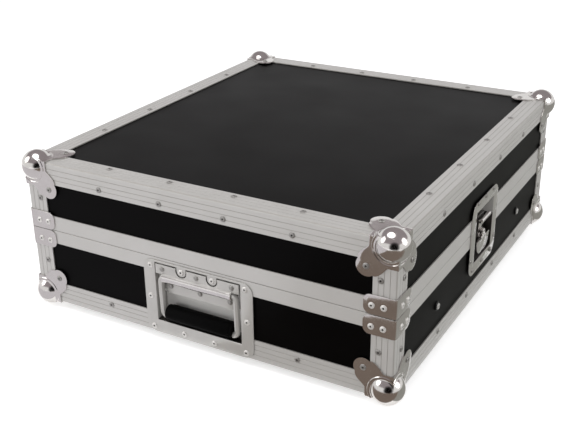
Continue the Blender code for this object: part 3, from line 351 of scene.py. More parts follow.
def makePlywood():
    # birch plywood: long grain on the faces, 1.4 mm plies on the cut edges
    material, tree, shader, spot = newMaterial("birchPlywood", "#c9a878", 0.62)
    stretch = addNode(tree, "ShaderNodeMapping", {"Scale": (60.0, 5.0, 60.0)}, {"Vector": spot})
    grain = addNode(tree, "ShaderNodeTexNoise", {"Scale": 1.6, "Detail": 8.0, "Distortion": 0.6},
                    {"Vector": (stretch, 0)})
    face = between(tree, (grain, "Fac"), "#b58d5b", "#dcc197")
    split = addNode(tree, "ShaderNodeSeparateXYZ", links={0: spot})
    ply = addMath(tree, "FRACT", addMath(tree, "MULTIPLY", (split, "X"), 1 / 0.0028))
    edge = between(tree, addMath(tree, "GREATER_THAN", ply, 0.5), "#d0b083", "#8d6a41")
    geometry = addNode(tree, "ShaderNodeNewGeometry")
    normal = addNode(tree, "ShaderNodeSeparateXYZ", links={0: (geometry, "Normal")})
    broad = addMath(tree, "GREATER_THAN", addMath(tree, "ABSOLUTE", (normal, "X")), 0.7)
    wood = addNode(tree, "ShaderNodeMix", data_type="RGBA", links={0: broad, 6: edge, 7: face})
    connect(tree, (wood, 2), shader.inputs["Base Color"])
    setRelief(tree, shader, (grain, "Fac"), 0.15, 0.0003)
    return material


def makePowderCoat():
    # black powder coat on rolled steel: low orange peel of about 1 mm
    material, tree, shader, spot = newMaterial("blackPowderCoat", "#1a1a1b", 0.42)
    peel = noise(tree, spot, 1 / 0.001, 2.0)
    connect(tree, between(tree, peel, "#151515", "#202021"), shader.inputs["Base Color"])
    setShine(tree, shader, peel, 0.36, 0.52)
    setRelief(tree, shader, peel, 0.3, 0.0002)
    return material


def makeFoam():
    # open-cell polyether foam: charcoal, dead matte, cells of about 2 mm
    material, tree, shader, spot = newMaterial("openCellFoam", "#2d2d30", 0.97)
    voronoi = addNode(tree, "ShaderNodeTexVoronoi", {"Scale": 1 / 0.002}, {"Vector": spot})
    cells = (voronoi, "Distance")
    connect(tree, between(tree, cells, "#1c1c1e", "#3b3b3f"), shader.inputs["Base Color"])
    setRelief(tree, shader, cells, 0.8, 0.0008)
    return material


laminate = makeLaminate()
extrusion = makeExtrusion()
# bright nickel on the corners and braces: a near mirror
nickel = makeMetal("nickelPlatedSteel", "#d8d5d2", "#c6c2bf", 0.10, 0.10)
# zinc on the handle and the bolts: a soft grey shine; in the keepers' recesses it is painted shade,
# greyer than the nickel round it
zinc = makeMetal("zincPlatedSteel", "#c3c1bd", "#b3b1ad", 0.26, 0.08, 0.35)
# zinc of the pocket's back wall: painted light, almost white and flat, a lit copy of the handle's
# zinc
zincPaintedLight = makeMetal("zincPlatedSteelPaintedLight", "#efede9", "#e2e0dc", 0.34, 0.08, 0.15)
# nickel on the latches and the handle's roll: a mirror broken up by the pressing
latchNickel = makeMetal("rippledNickelPlate", "#dedbd8", "#c9c6c4", 0.10, 0.08, 1.0, 0.35)
# plain rivets: greyer than the metal round them
rivetSteel = makeMetal("zincPlatedRivet", "#a4a29e", "#8b8986", 0.26, 0.10, 0.6)
# hook plates and the walls of recesses, which light hardly reaches: painted shade, a dark and
# uneven copy of the nickel
nickelPaintedShade = makeMetal("nickelPlatePaintedShade", "#6a6765", "#3a3837", 0.20, 0.30, 1.0, 0.25)
# rivets of the braces and the handle dish: pale, with a soft shine
brightRivet = makeMetal("domedAluminiumRivet", "#e2e0dc", "#cfccc8", 0.30, 0.08, 0.40)
# cup washers and leaf springs: painted shade, nearly black with a low gleam, for the shadow beside
# the bolt heads and on the latches' recess floors
washerPaintedShade = makeMetal("cupWasherPaintedShade", "#0c0c0d", "#060607", 0.34, 0.10, 0.6)
springPaintedShade = makeMetal("springSteelPaintedShade", "#141415", "#0b0b0c", 0.34, 0.10, 0.6)
# broken mandrels and the bolts' sockets: dark spots, painted shade in the rivets' hollows and the
# sockets, over the mandrels' own darker steel
mandrelAndHollowShade = makeMetal("mandrelSteelAndHollowShade", "#3a3836", "#1d1b1a", 0.45, 0.10)
rubber = makeRubber()
plywood = makePlywood()
powderCoat = makePowderCoat()
foam = makeFoam()

# the first key found in a node's name gives its material
nodeFinish = {
    "panel": laminate, "extrusion": extrusion, "upright": extrusion, "rim": extrusion,
    "ball_corner": nickel, "brace": nickel, "handle_grip": rubber, "handle": zinc, "latch": zinc,
    "rack_cheek": plywood, "rack_rail": powderCoat, "foam": foam,
}
for name, node in nodes.items():
    for key, material in nodeFinish.items():
        if key in name:
            for slot in node.material_slots:
                slot.material = material
            break
print("materials made")


# tools for shaping
def only(obj):
    bpy.ops.object.select_all(action="DESELECT")
    obj.select_set(True)
    bpy.context.view_layer.objects.active = obj


def pick(mode, test):
    # edit mode: select the vertices, edges or faces that pass the test
    bpy.ops.mesh.select_mode(type=mode)
    bpy.ops.mesh.select_all(action="DESELECT")
    mesh = bmesh.from_edit_mesh(bpy.context.object.data)
    parts = {"VERT": mesh.verts, "EDGE": mesh.edges, "FACE": mesh.faces}[mode]
    for part in parts:
        if test(part):
            part.select_set(True)
    mesh.select_flush_mode()
    bmesh.update_edit_mesh(bpy.context.object.data)


def modify(obj, kind, **settings):
    only(obj)
    modifier = obj.modifiers.new(kind.lower(), kind)
    for key, value in settings.items():
        setattr(modifier, key, value)
    bpy.ops.object.modifier_apply(modifier=modifier.name)


def bevel(obj, width, segments, angle, **settings):
    # rounds the edges that turn by more than the angle, in degrees
    modify(obj, "BEVEL", width=width, segments=segments, limit_method="ANGLE",
           angle_limit=math.radians(angle), **settings)


def finish(obj, name, body, *materials, angle=40):
    # place baked into the mesh, smooth faces, material and body
    only(obj)
    bpy.ops.object.transform_apply(location=True, rotation=True, scale=True)
    bpy.ops.object.shade_smooth_by_angle(angle=math.radians(angle))
    obj.name = name
    for material in materials:
        obj.data.materials.append(material)
    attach(obj, body)
    return obj


def copyMesh(obj, matrix):
    twin = obj.copy()
    twin.data = obj.data.copy()
    bpy.context.collection.objects.link(twin)
    twin.data.transform(matrix)
    if matrix.determinant() < 0:
        twin.data.flip_normals()
    return twin


def joinAll(pieces):
    only(pieces[0])
    for piece in pieces:
        piece.select_set(True)
    bpy.ops.object.join()
    return bpy.context.object


def cleanShell():
    bpy.ops.mesh.select_all(action="SELECT")
    bpy.ops.mesh.remove_doubles(threshold=0.00002)
    bpy.ops.mesh.normals_make_consistent(inside=False)


def axes(origin, right, up, out):
    # a frame whose X, Y and Z run along the three directions given
    matrix = Matrix.Identity(4)
    for column, axis in enumerate((right, up, out)):
        matrix.col[column] = (*axis, 0.0)
    matrix.col[3] = (*origin, 1.0)
    return matrix


def layCircle(places, fill):
    # a circle primitive with its vertices laid on the places, left in edit mode
    bpy.ops.mesh.primitive_circle_add(vertices=len(places), radius=0.01, fill_type=fill,
                                      location=(0, 0, 0))
    obj = bpy.context.object
    bpy.ops.object.mode_set(mode="EDIT")
    mesh = bmesh.from_edit_mesh(obj.data)
    mesh.verts.ensure_lookup_table()
    for vert, place in zip(mesh.verts, places):
        vert.co = place
    bmesh.update_edit_mesh(obj.data)
    return obj


def spunProfile(points, steps):
    # the circle opened into a line through the points (radius, height), spun about Z
    obj = layCircle([(radius, 0.0, height) for radius, height in points], "NOTHING")
    ends = {0, len(points) - 1}
    pick("EDGE", lambda edge: {vert.index for vert in edge.verts} == ends)
    bpy.ops.mesh.delete(type="EDGE")
    bpy.ops.mesh.select_all(action="SELECT")
    bpy.ops.mesh.spin(steps=steps, angle=2 * math.pi, center=(0, 0, 0), axis=(0, 0, 1))
    cleanShell()
    bpy.ops.object.mode_set(mode="OBJECT")
    return obj


def outlinePlate(points, thickness, matrix):
    # the filled circle laid on the outline in X and Y, then extruded to a sheet along Z
    obj = layCircle([(x, y, 0.0) for x, y in points], "NGON")
    bpy.ops.mesh.select_all(action="SELECT")
    bpy.ops.mesh.extrude_region_move(TRANSFORM_OT_translate={"value": (0, 0, thickness)})
    cleanShell()
    bpy.ops.object.mode_set(mode="OBJECT")
    obj.data.transform(matrix)
    return obj


def arcPoints(centre, radius, start, sweep, steps):
    # start and sweep in degrees
    angles = [math.radians(start + sweep * i / steps) for i in range(steps + 1)]
    return [(centre[0] + radius * math.cos(angle), centre[1] + radius * math.sin(angle))
            for angle in angles]


# ball corners: a pressed three-lobed plate drawn up into a ball
cornerSettings = {
    "ballRadius": 0.021,
    "ballInset": 0.0105,
    "ballRings": 14,
    "ballWrap": 22,        # radians of ball per metre, where it runs on past the arris
    "flare": 0.0035,       # hollow radius between ball and plate
    "flareRings": 7,
    # pressed bead round the foot of the ball: distance out from the foot, height
    "bead": ((0.0004, 0.0), (0.0011, 0.0006), (0.0019, 0.0006), (0.0026, 0.0)),
    "plateRings": (0.003, 0.006, 0.009, 0.012),
    "reach": 0.035,        # plate edge on the arris, from the corner
    "lobeCentre": 0.037,
    "lobeRadius": 0.0132,
    "lobeHalf": 18,        # degrees of rim each way that are the lobe's own arc
    "lobeHollow": 26,      # and degrees that join it to the straight edge
    "steps": 120,
    "arris": 0.0024,
    "edge": 0.0003,
}
cornerInside = Vector((0.03, 0.03, 0.03))    # a point inside the case, from its corner


def lobeReach(phi, s):
    # from the ball's axis to the plate's rim in direction phi; the rim is even about 45 degrees
    off = abs((phi - math.pi / 4 + math.pi) % (2 * math.pi) - math.pi)
    centre = math.hypot(s["lobeCentre"] - s["ballInset"], s["lobeCentre"] - s["ballInset"])
    straight = s["reach"] - s["ballInset"]
    start, span = math.radians(s["lobeHalf"]), math.radians(s["lobeHollow"])

    def onLobe(angle):
        across = centre * math.sin(angle)
        return centre * math.cos(angle) + math.sqrt(s["lobeRadius"] ** 2 - across ** 2)

    if off < start:
        return onLobe(off)
    if off < start + span:
        # a soft hollow joins the lobe to the straight edge
        at = (off - start) / span
        blend = at * at * (3 - 2 * at)
        end = straight / math.cos(math.pi / 4 - start - span)
        return onLobe(start) * (1 - blend) + end * blend
    return straight / max(0.5, math.cos(math.pi / 4 - off))


def makeBallCorner(s):
    radius, inset, flare = s["ballRadius"], s["ballInset"], s["flare"]
    depth = inset + skin
    centre = math.sqrt((radius + flare) ** 2 - (depth + flare) ** 2)
    touch = math.asin(centre / (radius + flare))
    points = []
    for i in range(s["ballRings"] + 1):
        angle = touch * i / s["ballRings"]
        points.append((radius * math.sin(angle), inset - radius * math.cos(angle)))
    for i in range(1, s["flareRings"] + 1):
        angle = touch * (1 - i / s["flareRings"])
        points.append((centre - flare * math.sin(angle), -skin - flare + flare * math.cos(angle)))
    points += [(centre + out, -skin - height) for out, height in s["bead"]]
    points += [(centre + out, -skin) for out in s["plateRings"]]
    third = spunProfile(points, s["steps"])
    third.data.transform(Matrix.Translation((inset, inset, 0)))
    only(third)
    bpy.ops.object.mode_set(mode="EDIT")
    mesh = bmesh.from_edit_mesh(third.data)
    ballEdge = radius * math.sin(touch)
    beadEdge = centre + s["bead"][-1][0]
    plateWidth = s["plateRings"][-1] - s["bead"][-1][0]
    for vert in mesh.verts:
        x, y = vert.co.x - inset, vert.co.y - inset
        far = math.hypot(x, y)
        if far < 1e-6:
            continue
        phi = math.atan2(y, x)
        if -math.pi < phi < -math.pi / 2 or phi > math.pi - 0.001:
            # on the corner's own side the ball runs on, because no plate is there
            if far > ballEdge + 1e-6:
                angle = touch + (far - ballEdge) * s["ballWrap"]
                vert.co.x = inset + radius * math.sin(angle) * x / far
                vert.co.y = inset + radius * math.sin(angle) * y / far
                vert.co.z = inset - radius * math.cos(angle)
        elif far > beadEdge:
            # the plate's rings spread out to the lobed rim
            share = (far - beadEdge) / plateWidth
            reach = beadEdge + (lobeReach(phi, s) - beadEdge) * share
            vert.co.x = inset + reach * x / far
            vert.co.y = inset + reach * y / far
    bmesh.update_edit_mesh(third.data)
    for normal in ((1, 0, -1), (0, 1, -1)):
        bpy.ops.mesh.select_all(action="SELECT")
        bpy.ops.mesh.bisect(plane_co=(0, 0, 0), plane_no=normal, clear_inner=True,
                            clear_outer=False)
    bpy.ops.object.mode_set(mode="OBJECT")
    # the same third on the other two faces of the corner
    turn = Matrix(((0, 0, 1, 0), (1, 0, 0, 0), (0, 1, 0, 0), (0, 0, 0, 1)))
    corner = joinAll([third, copyMesh(third, turn), copyMesh(third, turn @ turn)])
    bpy.ops.object.mode_set(mode="EDIT")
    cleanShell()
    bpy.ops.object.mode_set(mode="OBJECT")
    mesh = corner.data
    outward = sum(face.normal.dot(face.center - cornerInside) > 0 for face in mesh.polygons)
    if outward < len(mesh.polygons) / 2:
        mesh.flip_normals()
    bevel(corner, s["arris"], 3, 48)
    modify(corner, "SOLIDIFY", thickness=sheet, offset=-1.0)
    bevel(corner, s["edge"], 2, 60)
    return corner


cornerMaster = makeBallCorner(cornerSettings)
corners = {"front_right": (1, -1), "back_right": (1, 1),
           "back_left": (-1, 1), "front_left": (-1, -1)}
for level, height, sz, body in (("bottom", caseBottom, -1, "base"), ("top", caseTop, 1, "lid")):
    for name, (sx, sy) in corners.items():
        matrix = axes((sx * halfWidth, sy * halfDepth, height),
                      (-sx, 0, 0), (0, -sy, 0), (0, 0, -sz))
        corner = copyMesh(cornerMaster, matrix)
        finish(corner, "ballCorner_" + level + "_" + name, body, nickel)
        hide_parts("ball_corner_" + level + "_" + name)
bpy.data.objects.remove(cornerMaster)
print("ball corners made")


# corner braces: one strip bent round each upright edge, above and below the seam
braceSettings = {
    "leg": 0.040,
    "height": 0.0255,
    "gap": 0.0004,         # from the seam
    "bend": 0.0037,        # outer radius of the bend
    "bendSteps": 8,
    "end": 0.0088,         # rounding of the legs' ends
    "endSteps": 7,
    "edge": 0.0004,
}


def makeBrace(s):
    # leg along X first, then the bend, then the leg along Y; the outer face is the drawn one
    length = s["leg"] + skin - s["bend"]
    near = s["leg"] - length
    bpy.ops.mesh.primitive_plane_add(size=1, location=(0, 0, 0))
    brace = bpy.context.object
    brace.data.transform(Matrix.Rotation(math.radians(90), 4, "X")
                         @ Matrix.Diagonal((length, s["height"], 1, 1)))
    brace.data.transform(Matrix.Translation((s["leg"] - length / 2, -skin, s["height"] / 2)))
    bpy.ops.object.mode_set(mode="EDIT")
    pick("EDGE", lambda edge: all(abs(vert.co.x - near) < 1e-5 for vert in edge.verts))
    bpy.ops.mesh.spin(steps=s["bendSteps"], angle=math.pi / 2, center=(near, -skin + s["bend"], 0),
                      axis=(0, 0, 1))
    pick("EDGE", lambda edge: all(vert.co.x < -skin + 1e-5 for vert in edge.verts))
    bpy.ops.mesh.extrude_edges_move(TRANSFORM_OT_translate={"value": (0, length, 0)})
    legEnd = s["leg"] - 1e-4
    pick("VERT", lambda vert: vert.co.x > legEnd or vert.co.y > legEnd)
    bpy.ops.mesh.bevel(affect="VERTICES", offset=s["end"], segments=s["endSteps"])
    cleanShell()
    bpy.ops.object.mode_set(mode="OBJECT")
    face = brace.data.polygons[0]
    if face.normal.dot(face.center - cornerInside) < 0:
        brace.data.flip_normals()
    modify(brace, "SOLIDIFY", thickness=sheet, offset=-1.0)
    bevel(brace, s["edge"], 2, 60)
    return brace


braceMaster = makeBrace(braceSettings)
for body, sz in (("lid", 1), ("base", -1)):
    for name, (sx, sy) in corners.items():
        low = seam + sz * braceSettings["gap"]
        matrix = axes((sx * halfWidth, sy * halfDepth, low), (-sx, 0, 0), (0, -sy, 0), (0, 0, sz))
        brace = copyMesh(braceMaster, matrix)
        finish(brace, body + "Brace_" + name, body, nickel)
        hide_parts(body + "_brace_" + name)
bpy.data.objects.remove(braceMaster)
print("braces made")


# rivets: pop rivets with a hollow where the mandrel broke off, and plain domes
rivetSettings = {
    # profiles: radius and height
    "pop": ((0.0035, 0.0), (0.0035, 0.0003), (0.0030, 0.0009), (0.0018, 0.0012),
            (0.00115, 0.00115), (0.00100, 0.00045), (0.0, 0.00055)),
    "bright": ((0.0036, 0.0), (0.0035, 0.0004), (0.0029, 0.0010), (0.0018, 0.0013),
               (0.00125, 0.00125), (0.00110, 0.00045), (0.0, 0.00055)),
    "dome": ((0.0036, 0.0), (0.0035, 0.0005), (0.0029, 0.0012), (0.0017, 0.0017), (0.0, 0.0019)),
    "sides": 16,
    "size": 1.14,
    "mandrel": 0.0012,         # radius of the dark spot: the mandrel and painted shade in the hollow
    # rows along the extrusions
    "edgeX": (-0.141, -0.047, 0.047, 0.141),
    "edgeY": (-0.161, -0.054, 0.054, 0.161),
    "besideHandle": (-0.142, 0.142),
    "topShift": -0.0018,       # of the rows on the lid's top, along X
    "lidShift": -0.0050,       # of those on its front and back
    "sideShift": 0.003,        # of the base's side rows, along Y
    "edgeInset": 0.0208,       # from the case's outer face, on top and below
    "lidDrop": 0.0217,         # below the case's top
    "baseRise": 0.0195,        # above its bottom, front and back
    "sideRise": 0.0208,        # the same at the sides
    # on the uprights, ball corners and braces; heights are above the case's bottom
    "uprightInset": 0.0197,
    "uprightHeights": (("lid", 0.1546), ("base", 0.062)),
    "cornerInset": 0.0375,
    "braceInsets": (0.0145, 0.0295),
    "braceHeights": (("lid", 0.122), ("base", 0.0947)),
    # body, sides, places along the row, height, proud of the case's face, scale, kind
    "rows": (
        # round the handle dish
        ("base", ("front",), (-0.0705, -0.023, 0.023, 0.0705), 0.0085, skin, 1.0, "bright"),
        ("base", ("front",), (-0.0705, -0.023, 0.023, 0.0705), 0.098, skin, 1.0, "bright"),
        ("base", ("front",), (-0.0727, 0.0727), 0.053, skin, 1.0, "bright"),
        # on the handle's bracket and its flap
        ("base", ("front",), (-0.052, 0.0, 0.052), 0.0960, 0.0021, 0.9, "dome"),
        ("base", ("front",), (-0.0447, 0.0, 0.0447), 0.0706, -0.0050, 0.9, "dome"),
        # on the latches' keepers and dishes
        ("lid", ("right", "left"), (-0.031, 0.0, 0.031), 0.1484, skin, 0.9, "pop"),
        ("base", ("right", "left"), (-0.038, 0.0, 0.038), 0.0518, skin, 0.9, "pop"),
        ("base", ("right", "left"), (-0.049, 0.049), 0.0700, skin, 0.9, "pop"),
    ),
}
# right, up and out of each face of the case
faceAxes = {
    "front": ((1, 0, 0), (0, 0, 1), (0, -1, 0)),
    "back": ((-1, 0, 0), (0, 0, 1), (0, 1, 0)),
    "right": ((0, 1, 0), (0, 0, 1), (1, 0, 0)),
    "left": ((0, -1, 0), (0, 0, 1), (-1, 0, 0)),
    "top": ((1, 0, 0), (0, 1, 0), (0, 0, 1)),
    "bottom": ((1, 0, 0), (0, -1, 0), (0, 0, -1)),
}


def onFace(side, x, y, z, proud):
    # a point of one face of the case: the coordinate across the face isn't used
    flat = {"front": (x, -halfDepth, z), "back": (x, halfDepth, z), "right": (halfWidth, y, z),
            "left": (-halfWidth, y, z), "top": (x, y, caseTop), "bottom": (x, y, caseBottom)}[side]
    return Vector(flat) + Vector(faceAxes[side][2]) * proud


def makeRivet(s, kind):
    profile = [(radius * s["size"], height * s["size"]) for radius, height in s[kind]]
    rivet = spunProfile(profile, s["sides"])
    rivet.data.materials.append(brightRivet if kind == "bright" else rivetSteel)
    rivet.data.materials.append(mandrelAndHollowShade)
    if kind == "dome":
        if rivet.data.polygons[0].normal.z < 0:
            rivet.data.flip_normals()
    else:
        # painted shade: the hollow's faces take the dark steel
        for face in rivet.data.polygons:
            onMandrel = math.hypot(face.center.x, face.center.y) < s["mandrel"]
            face.material_index = 1 if onMandrel else 0
    return rivet


masters = {kind: makeRivet(rivetSettings, kind) for kind in ("pop", "bright", "dome")}
spots = {"base": [], "lid": []}    # kind, side, point and scale of each body's rivets


def rivetAt(body, side, x=0.0, y=0.0, z=0.0, proud=0.0, size=1.0, kind="pop"):
    spots[body].append((kind, side, onFace(side, x, y, z, proud), size))


def rivetPair(body, sx, sy, inset, z, **more):
    # one rivet on each of the two upright faces of a corner
    rivetAt(body, "right" if sx > 0 else "left", y=sy * (halfDepth - inset), z=z, **more)
    rivetAt(body, "front" if sy < 0 else "back", x=sx * (halfWidth - inset), z=z, **more)


def placeRivets(s):
    edgeX, edgeY = halfWidth - s["edgeInset"], halfDepth - s["edgeInset"]
    for x in s["edgeX"]:
        for sy, side in ((-1, "front"), (1, "back")):
            rivetAt("lid", "top", x=x + s["topShift"], y=sy * edgeY)
            rivetAt("lid", side, x=x + s["lidShift"], z=caseTop - s["lidDrop"])
            rivetAt("base", "bottom", x=x, y=sy * edgeY)
        rivetAt("base", "back", x=x, z=caseBottom + s["baseRise"])
    for x in s["besideHandle"]:
        rivetAt("base", "front", x=x, z=caseBottom + s["baseRise"])
    for y in s["edgeY"]:
        for sx, side in ((-1, "left"), (1, "right")):
            rivetAt("lid", "top", x=sx * edgeX, y=y)
            rivetAt("lid", side, y=y, z=caseTop - s["lidDrop"])
            rivetAt("base", "bottom", x=sx * edgeX, y=y)
            rivetAt("base", side, y=y + s["sideShift"], z=caseBottom + s["sideRise"])
    at = s["cornerInset"]
    for sx, sy in corners.values():
        for body, height in s["uprightHeights"]:
            rivetPair(body, sx, sy, s["uprightInset"], caseBottom + height)
        rivetAt("lid", "top", x=sx * (halfWidth - at), y=sy * (halfDepth - at), proud=skin)
        rivetPair("lid", sx, sy, at, caseTop - at, proud=skin)
        rivetAt("base", "bottom", x=sx * (halfWidth - at), y=sy * (halfDepth - at), proud=skin)
        rivetPair("base", sx, sy, at, caseBottom + at, proud=skin)
        for body, height in s["braceHeights"]:
            for inset in s["braceInsets"]:
                rivetPair(body, sx, sy, inset, caseBottom + height, proud=skin, kind="bright")
    for body, sides, places, height, proud, size, kind in s["rows"]:
        for side in sides:
            for at in places:
                rivetAt(body, side, at, at, caseBottom + height, proud, size, kind)


placeRivets(rivetSettings)
for body, group in spots.items():
    pieces = [copyMesh(masters[kind], axes(point, *faceAxes[side]) @ Matrix.Scale(size, 4))
              for kind, side, point, size in group]
    finish(joinAll(pieces), body + "Rivets", body)
for master in masters.values():
    bpy.data.objects.remove(master)
print("rivets set")


# side bolts through the walls into the cheeks, each with a cup washer
boltSettings = {
    "y": (-0.164, 0.167),
    "height": 0.060,
    "sunk": 0.0016,            # origin of both profiles, behind the case's face
    # radius and height
    "washer": ((0.0035, 0.0003), (0.0062, 0.0003), (0.0062, 0.0009), (0.0056, 0.0015),
               (0.0046, 0.0017), (0.0035, 0.0009), (0.0035, 0.0003)),
    "screw": ((0.0, 0.0020), (0.0012, 0.0020), (0.0015, 0.0034), (0.0034, 0.0033),
              (0.0041, 0.0027), (0.0041, 0.0012), (0.0032, 0.0004), (0.0028, -0.0050),
              (0.0, -0.0052)),
    "steps": 32,
    "socketRadius": 0.0013,
    "socketTop": 0.0011,       # faces above this, within the radius, are the socket's floor
    "socketSink": 0.0008,
    "socketDark": -0.001,      # faces above this, within the radius, are painted dark as shade in the socket
}


def makeBolts(s):
    washer = spunProfile(s["washer"], s["steps"])
    # painted shade: the washer is nearly black, for the shadow beside the bolt head
    washer.data.materials.append(washerPaintedShade)
    screw = spunProfile(s["screw"], s["steps"])
    # round socket sunk in the head
    bpy.ops.object.mode_set(mode="EDIT")
    pick("FACE", lambda face: face.calc_center_median().z > s["socketTop"]
         and face.calc_center_median().xy.length < s["socketRadius"])
    bpy.ops.transform.translate(value=(0, 0, -s["socketSink"]))
    bpy.ops.object.mode_set(mode="OBJECT")
    screw.data.materials.append(zinc)
    screw.data.materials.append(mandrelAndHollowShade)
    # painted shade: the socket's faces take the dark steel
    for face in screw.data.polygons:
        dark = face.center.xy.length < s["socketRadius"] and face.center.z > s["socketDark"]
        face.material_index = 1 if dark else 0
    pieces = []
    for side in ("right", "left"):
        for y in s["y"]:
            point = onFace(side, 0, y, caseBottom + s["height"], -s["sunk"])
            for master in (washer, screw):
                pieces.append(copyMesh(master, axes(point, *faceAxes[side])))
    finish(joinAll(pieces), "sideBolts", "base")
    bpy.data.objects.remove(washer)
    bpy.data.objects.remove(screw)


makeBolts(boltSettings)
print("side bolts set")


# handle: dish with pressed edges, hinge bracket with its rolled knuckle, sprung bail and grip
def softened(node, name, body, material, width, segments=2, angle=35, reshape=None):
    # a merged copy of the solid with the press radius on its edges
    twin = nodes[node].copy()
    twin.data = nodes[node].data.copy()
    bpy.context.collection.objects.link(twin)
    only(twin)
    bpy.ops.object.mode_set(mode="EDIT")
    bpy.ops.mesh.select_all(action="SELECT")
    bpy.ops.mesh.remove_doubles(threshold=0.000002)
    bpy.ops.mesh.dissolve_limited(angle_limit=math.radians(1))
    if reshape:
        reshape()
    bpy.ops.object.mode_set(mode="OBJECT")
    bevel(twin, width, segments, angle, miter_outer="MITER_ARC")
    twin.data.materials.clear()
    finish(twin, name, body, material)
    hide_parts(node)
    return twin


# heights above the case's bottom; depths behind its face, so that those below 0 stand out
handleSettings = {
    "plateHalf": 0.0622,
    "plateHeights": (0.0888, 0.1019),
    "plateDepth": -0.0021,
    "tabs": (0.023, 0.0985, 0.0084),   # half spacing, height, radius of the notches
    "knuckle": 0.0840,
    "knuckleDepth": 0.0005,
    # along the roll, radius
    "roll": ((-0.0520, 0.0073), (-0.0500, 0.0071), (-0.0440, 0.0064), (-0.0300, 0.0062),
             (-0.0100, 0.0067), (0.0, 0.0068), (0.0100, 0.0067), (0.0300, 0.0062),
             (0.0440, 0.0064), (0.0500, 0.0071), (0.0520, 0.0073)),
    "bore": 0.0048,
    "rollEdge": 0.0005,
    # the roll's bright faces: half length, reach from the pin, height, depth
    "rollBright": (0.0530, 0.0078, 0.0878, 0.0045),
    "flapHalf": 0.050,
    "flapHeights": (0.0600, 0.0800),
    "flapDepth": 0.0050,
    "corner": 0.004,
    "edge": 0.0003,
    "tabSteps": 14,
    "cornerSteps": 5,
    "rollSteps": 40,
    # solids: edge radius, its segments, and the angle in degrees that makes an edge
    "dish": (0.0006, 3, 35),
    "bail": (0.0002, 1, 60),
    "grip": (0.0003, 2, 60),
    "hang": 4.0,                       # degrees out of the rest stop
    "pocketDepth": 0.0085,             # faces deeper than this are the pocket's
    "pocketFacing": -0.3,              # and of those, the ones that look out are its back wall, painted light; the rest are painted shade
}


def makeBracket(s):
    low, high = s["plateHeights"]
    half, (tabX, tabZ, radius) = s["plateHalf"], s["tabs"]
    across = math.sqrt(radius ** 2 - (high - tabZ) ** 2)
    start = math.degrees(math.atan2(high - tabZ, -across))
    sweep = 180 + 2 * (180 - start)
    plate = [(-half, high)]
    for x in (-tabX, tabX):
        plate += arcPoints((x, tabZ), radius, start, sweep, s["tabSteps"])
    plate += [(half, high), (half, low), (-half, low)]
    low, high = s["flapHeights"]
    half, corner, steps = s["flapHalf"], s["corner"], s["cornerSteps"]
    flap = [(-half, high)]
    flap += arcPoints((-half + corner, low + corner), corner, 180, 90, steps)
    flap += arcPoints((half - corner, low + corner), corner, 270, 90, steps)
    flap += [(half, high)]
    pieces = []
    for outline, depth in ((plate, s["plateDepth"]), (flap, s["flapDepth"])):
        # drawn in width and height, its back face first
        matrix = axes((0, -halfDepth + depth + sheet, caseBottom), (1, 0, 0), (0, 0, 1), (0, -1, 0))
        piece = outlinePlate(outline, sheet, matrix)
        bevel(piece, s["edge"], 2, 50)
        pieces.append(piece)
    outer = [(radius, along) for along, radius in s["roll"]]
    loop = outer + [(s["bore"], s["roll"][-1][0]), (s["bore"], s["roll"][0][0]), outer[0]]
    roll = spunProfile(loop, s["rollSteps"])
    pin = (0, -halfDepth + s["knuckleDepth"], caseBottom + s["knuckle"])
    roll.data.transform(Matrix.Translation(pin) @ Matrix.Rotation(math.radians(90), 4, "Y"))
    bevel(roll, s["rollEdge"], 2, 50)
    pieces.append(roll)
    bracket = joinAll(pieces)
    finish(bracket, "hingeBracket", "base", zinc, latchNickel)
    half, reach, top, depth = s["rollBright"]
    for face in bracket.data.polygons:
        x, y, z = face.center
        onRoll = abs(x) < half and math.hypot(y - pin[1], z - pin[2]) < reach
        bright = onRoll and z < caseBottom + top and y < -halfDepth + depth
        face.material_index = 1 if bright else 0
    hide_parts("handle_hinge_bracket")


def swungOut(s):
    # the bail hangs a few degrees out of its rest stop, as its spring leaves it
    def reshape():
        bpy.ops.mesh.select_all(action="SELECT")
        pin = (0, -halfDepth + s["knuckleDepth"], caseBottom + s["knuckle"])
        bpy.ops.transform.rotate(value=math.radians(s["hang"]), orient_axis="X",
                                 orient_type="GLOBAL", center_override=pin)
    return reshape


def makeDish(s):
    # painted light and shade: the pocket's back wall faces the light and is painted pale, the walls
    # round it are painted dark as shade
    dish = softened("handle_dish", "handleDish", "base", zinc, *s["dish"]).data
    dish.materials.append(zincPaintedLight)
    dish.materials.append(nickelPaintedShade)
    for face in dish.polygons:
        if face.center.y > -halfDepth + s["pocketDepth"]:
            face.material_index = 1 if face.normal.y < s["pocketFacing"] else 2


def makeBail(s):
    softened("handle_bail", "handleBail", "handle", zinc, *s["bail"], reshape=swungOut(s))
    softened("handle_grip", "handleGrip", "handle", rubber, *s["grip"], reshape=swungOut(s))


makeDish(handleSettings)
makeBracket(handleSettings)
makeBail(handleSettings)
print("handle made")


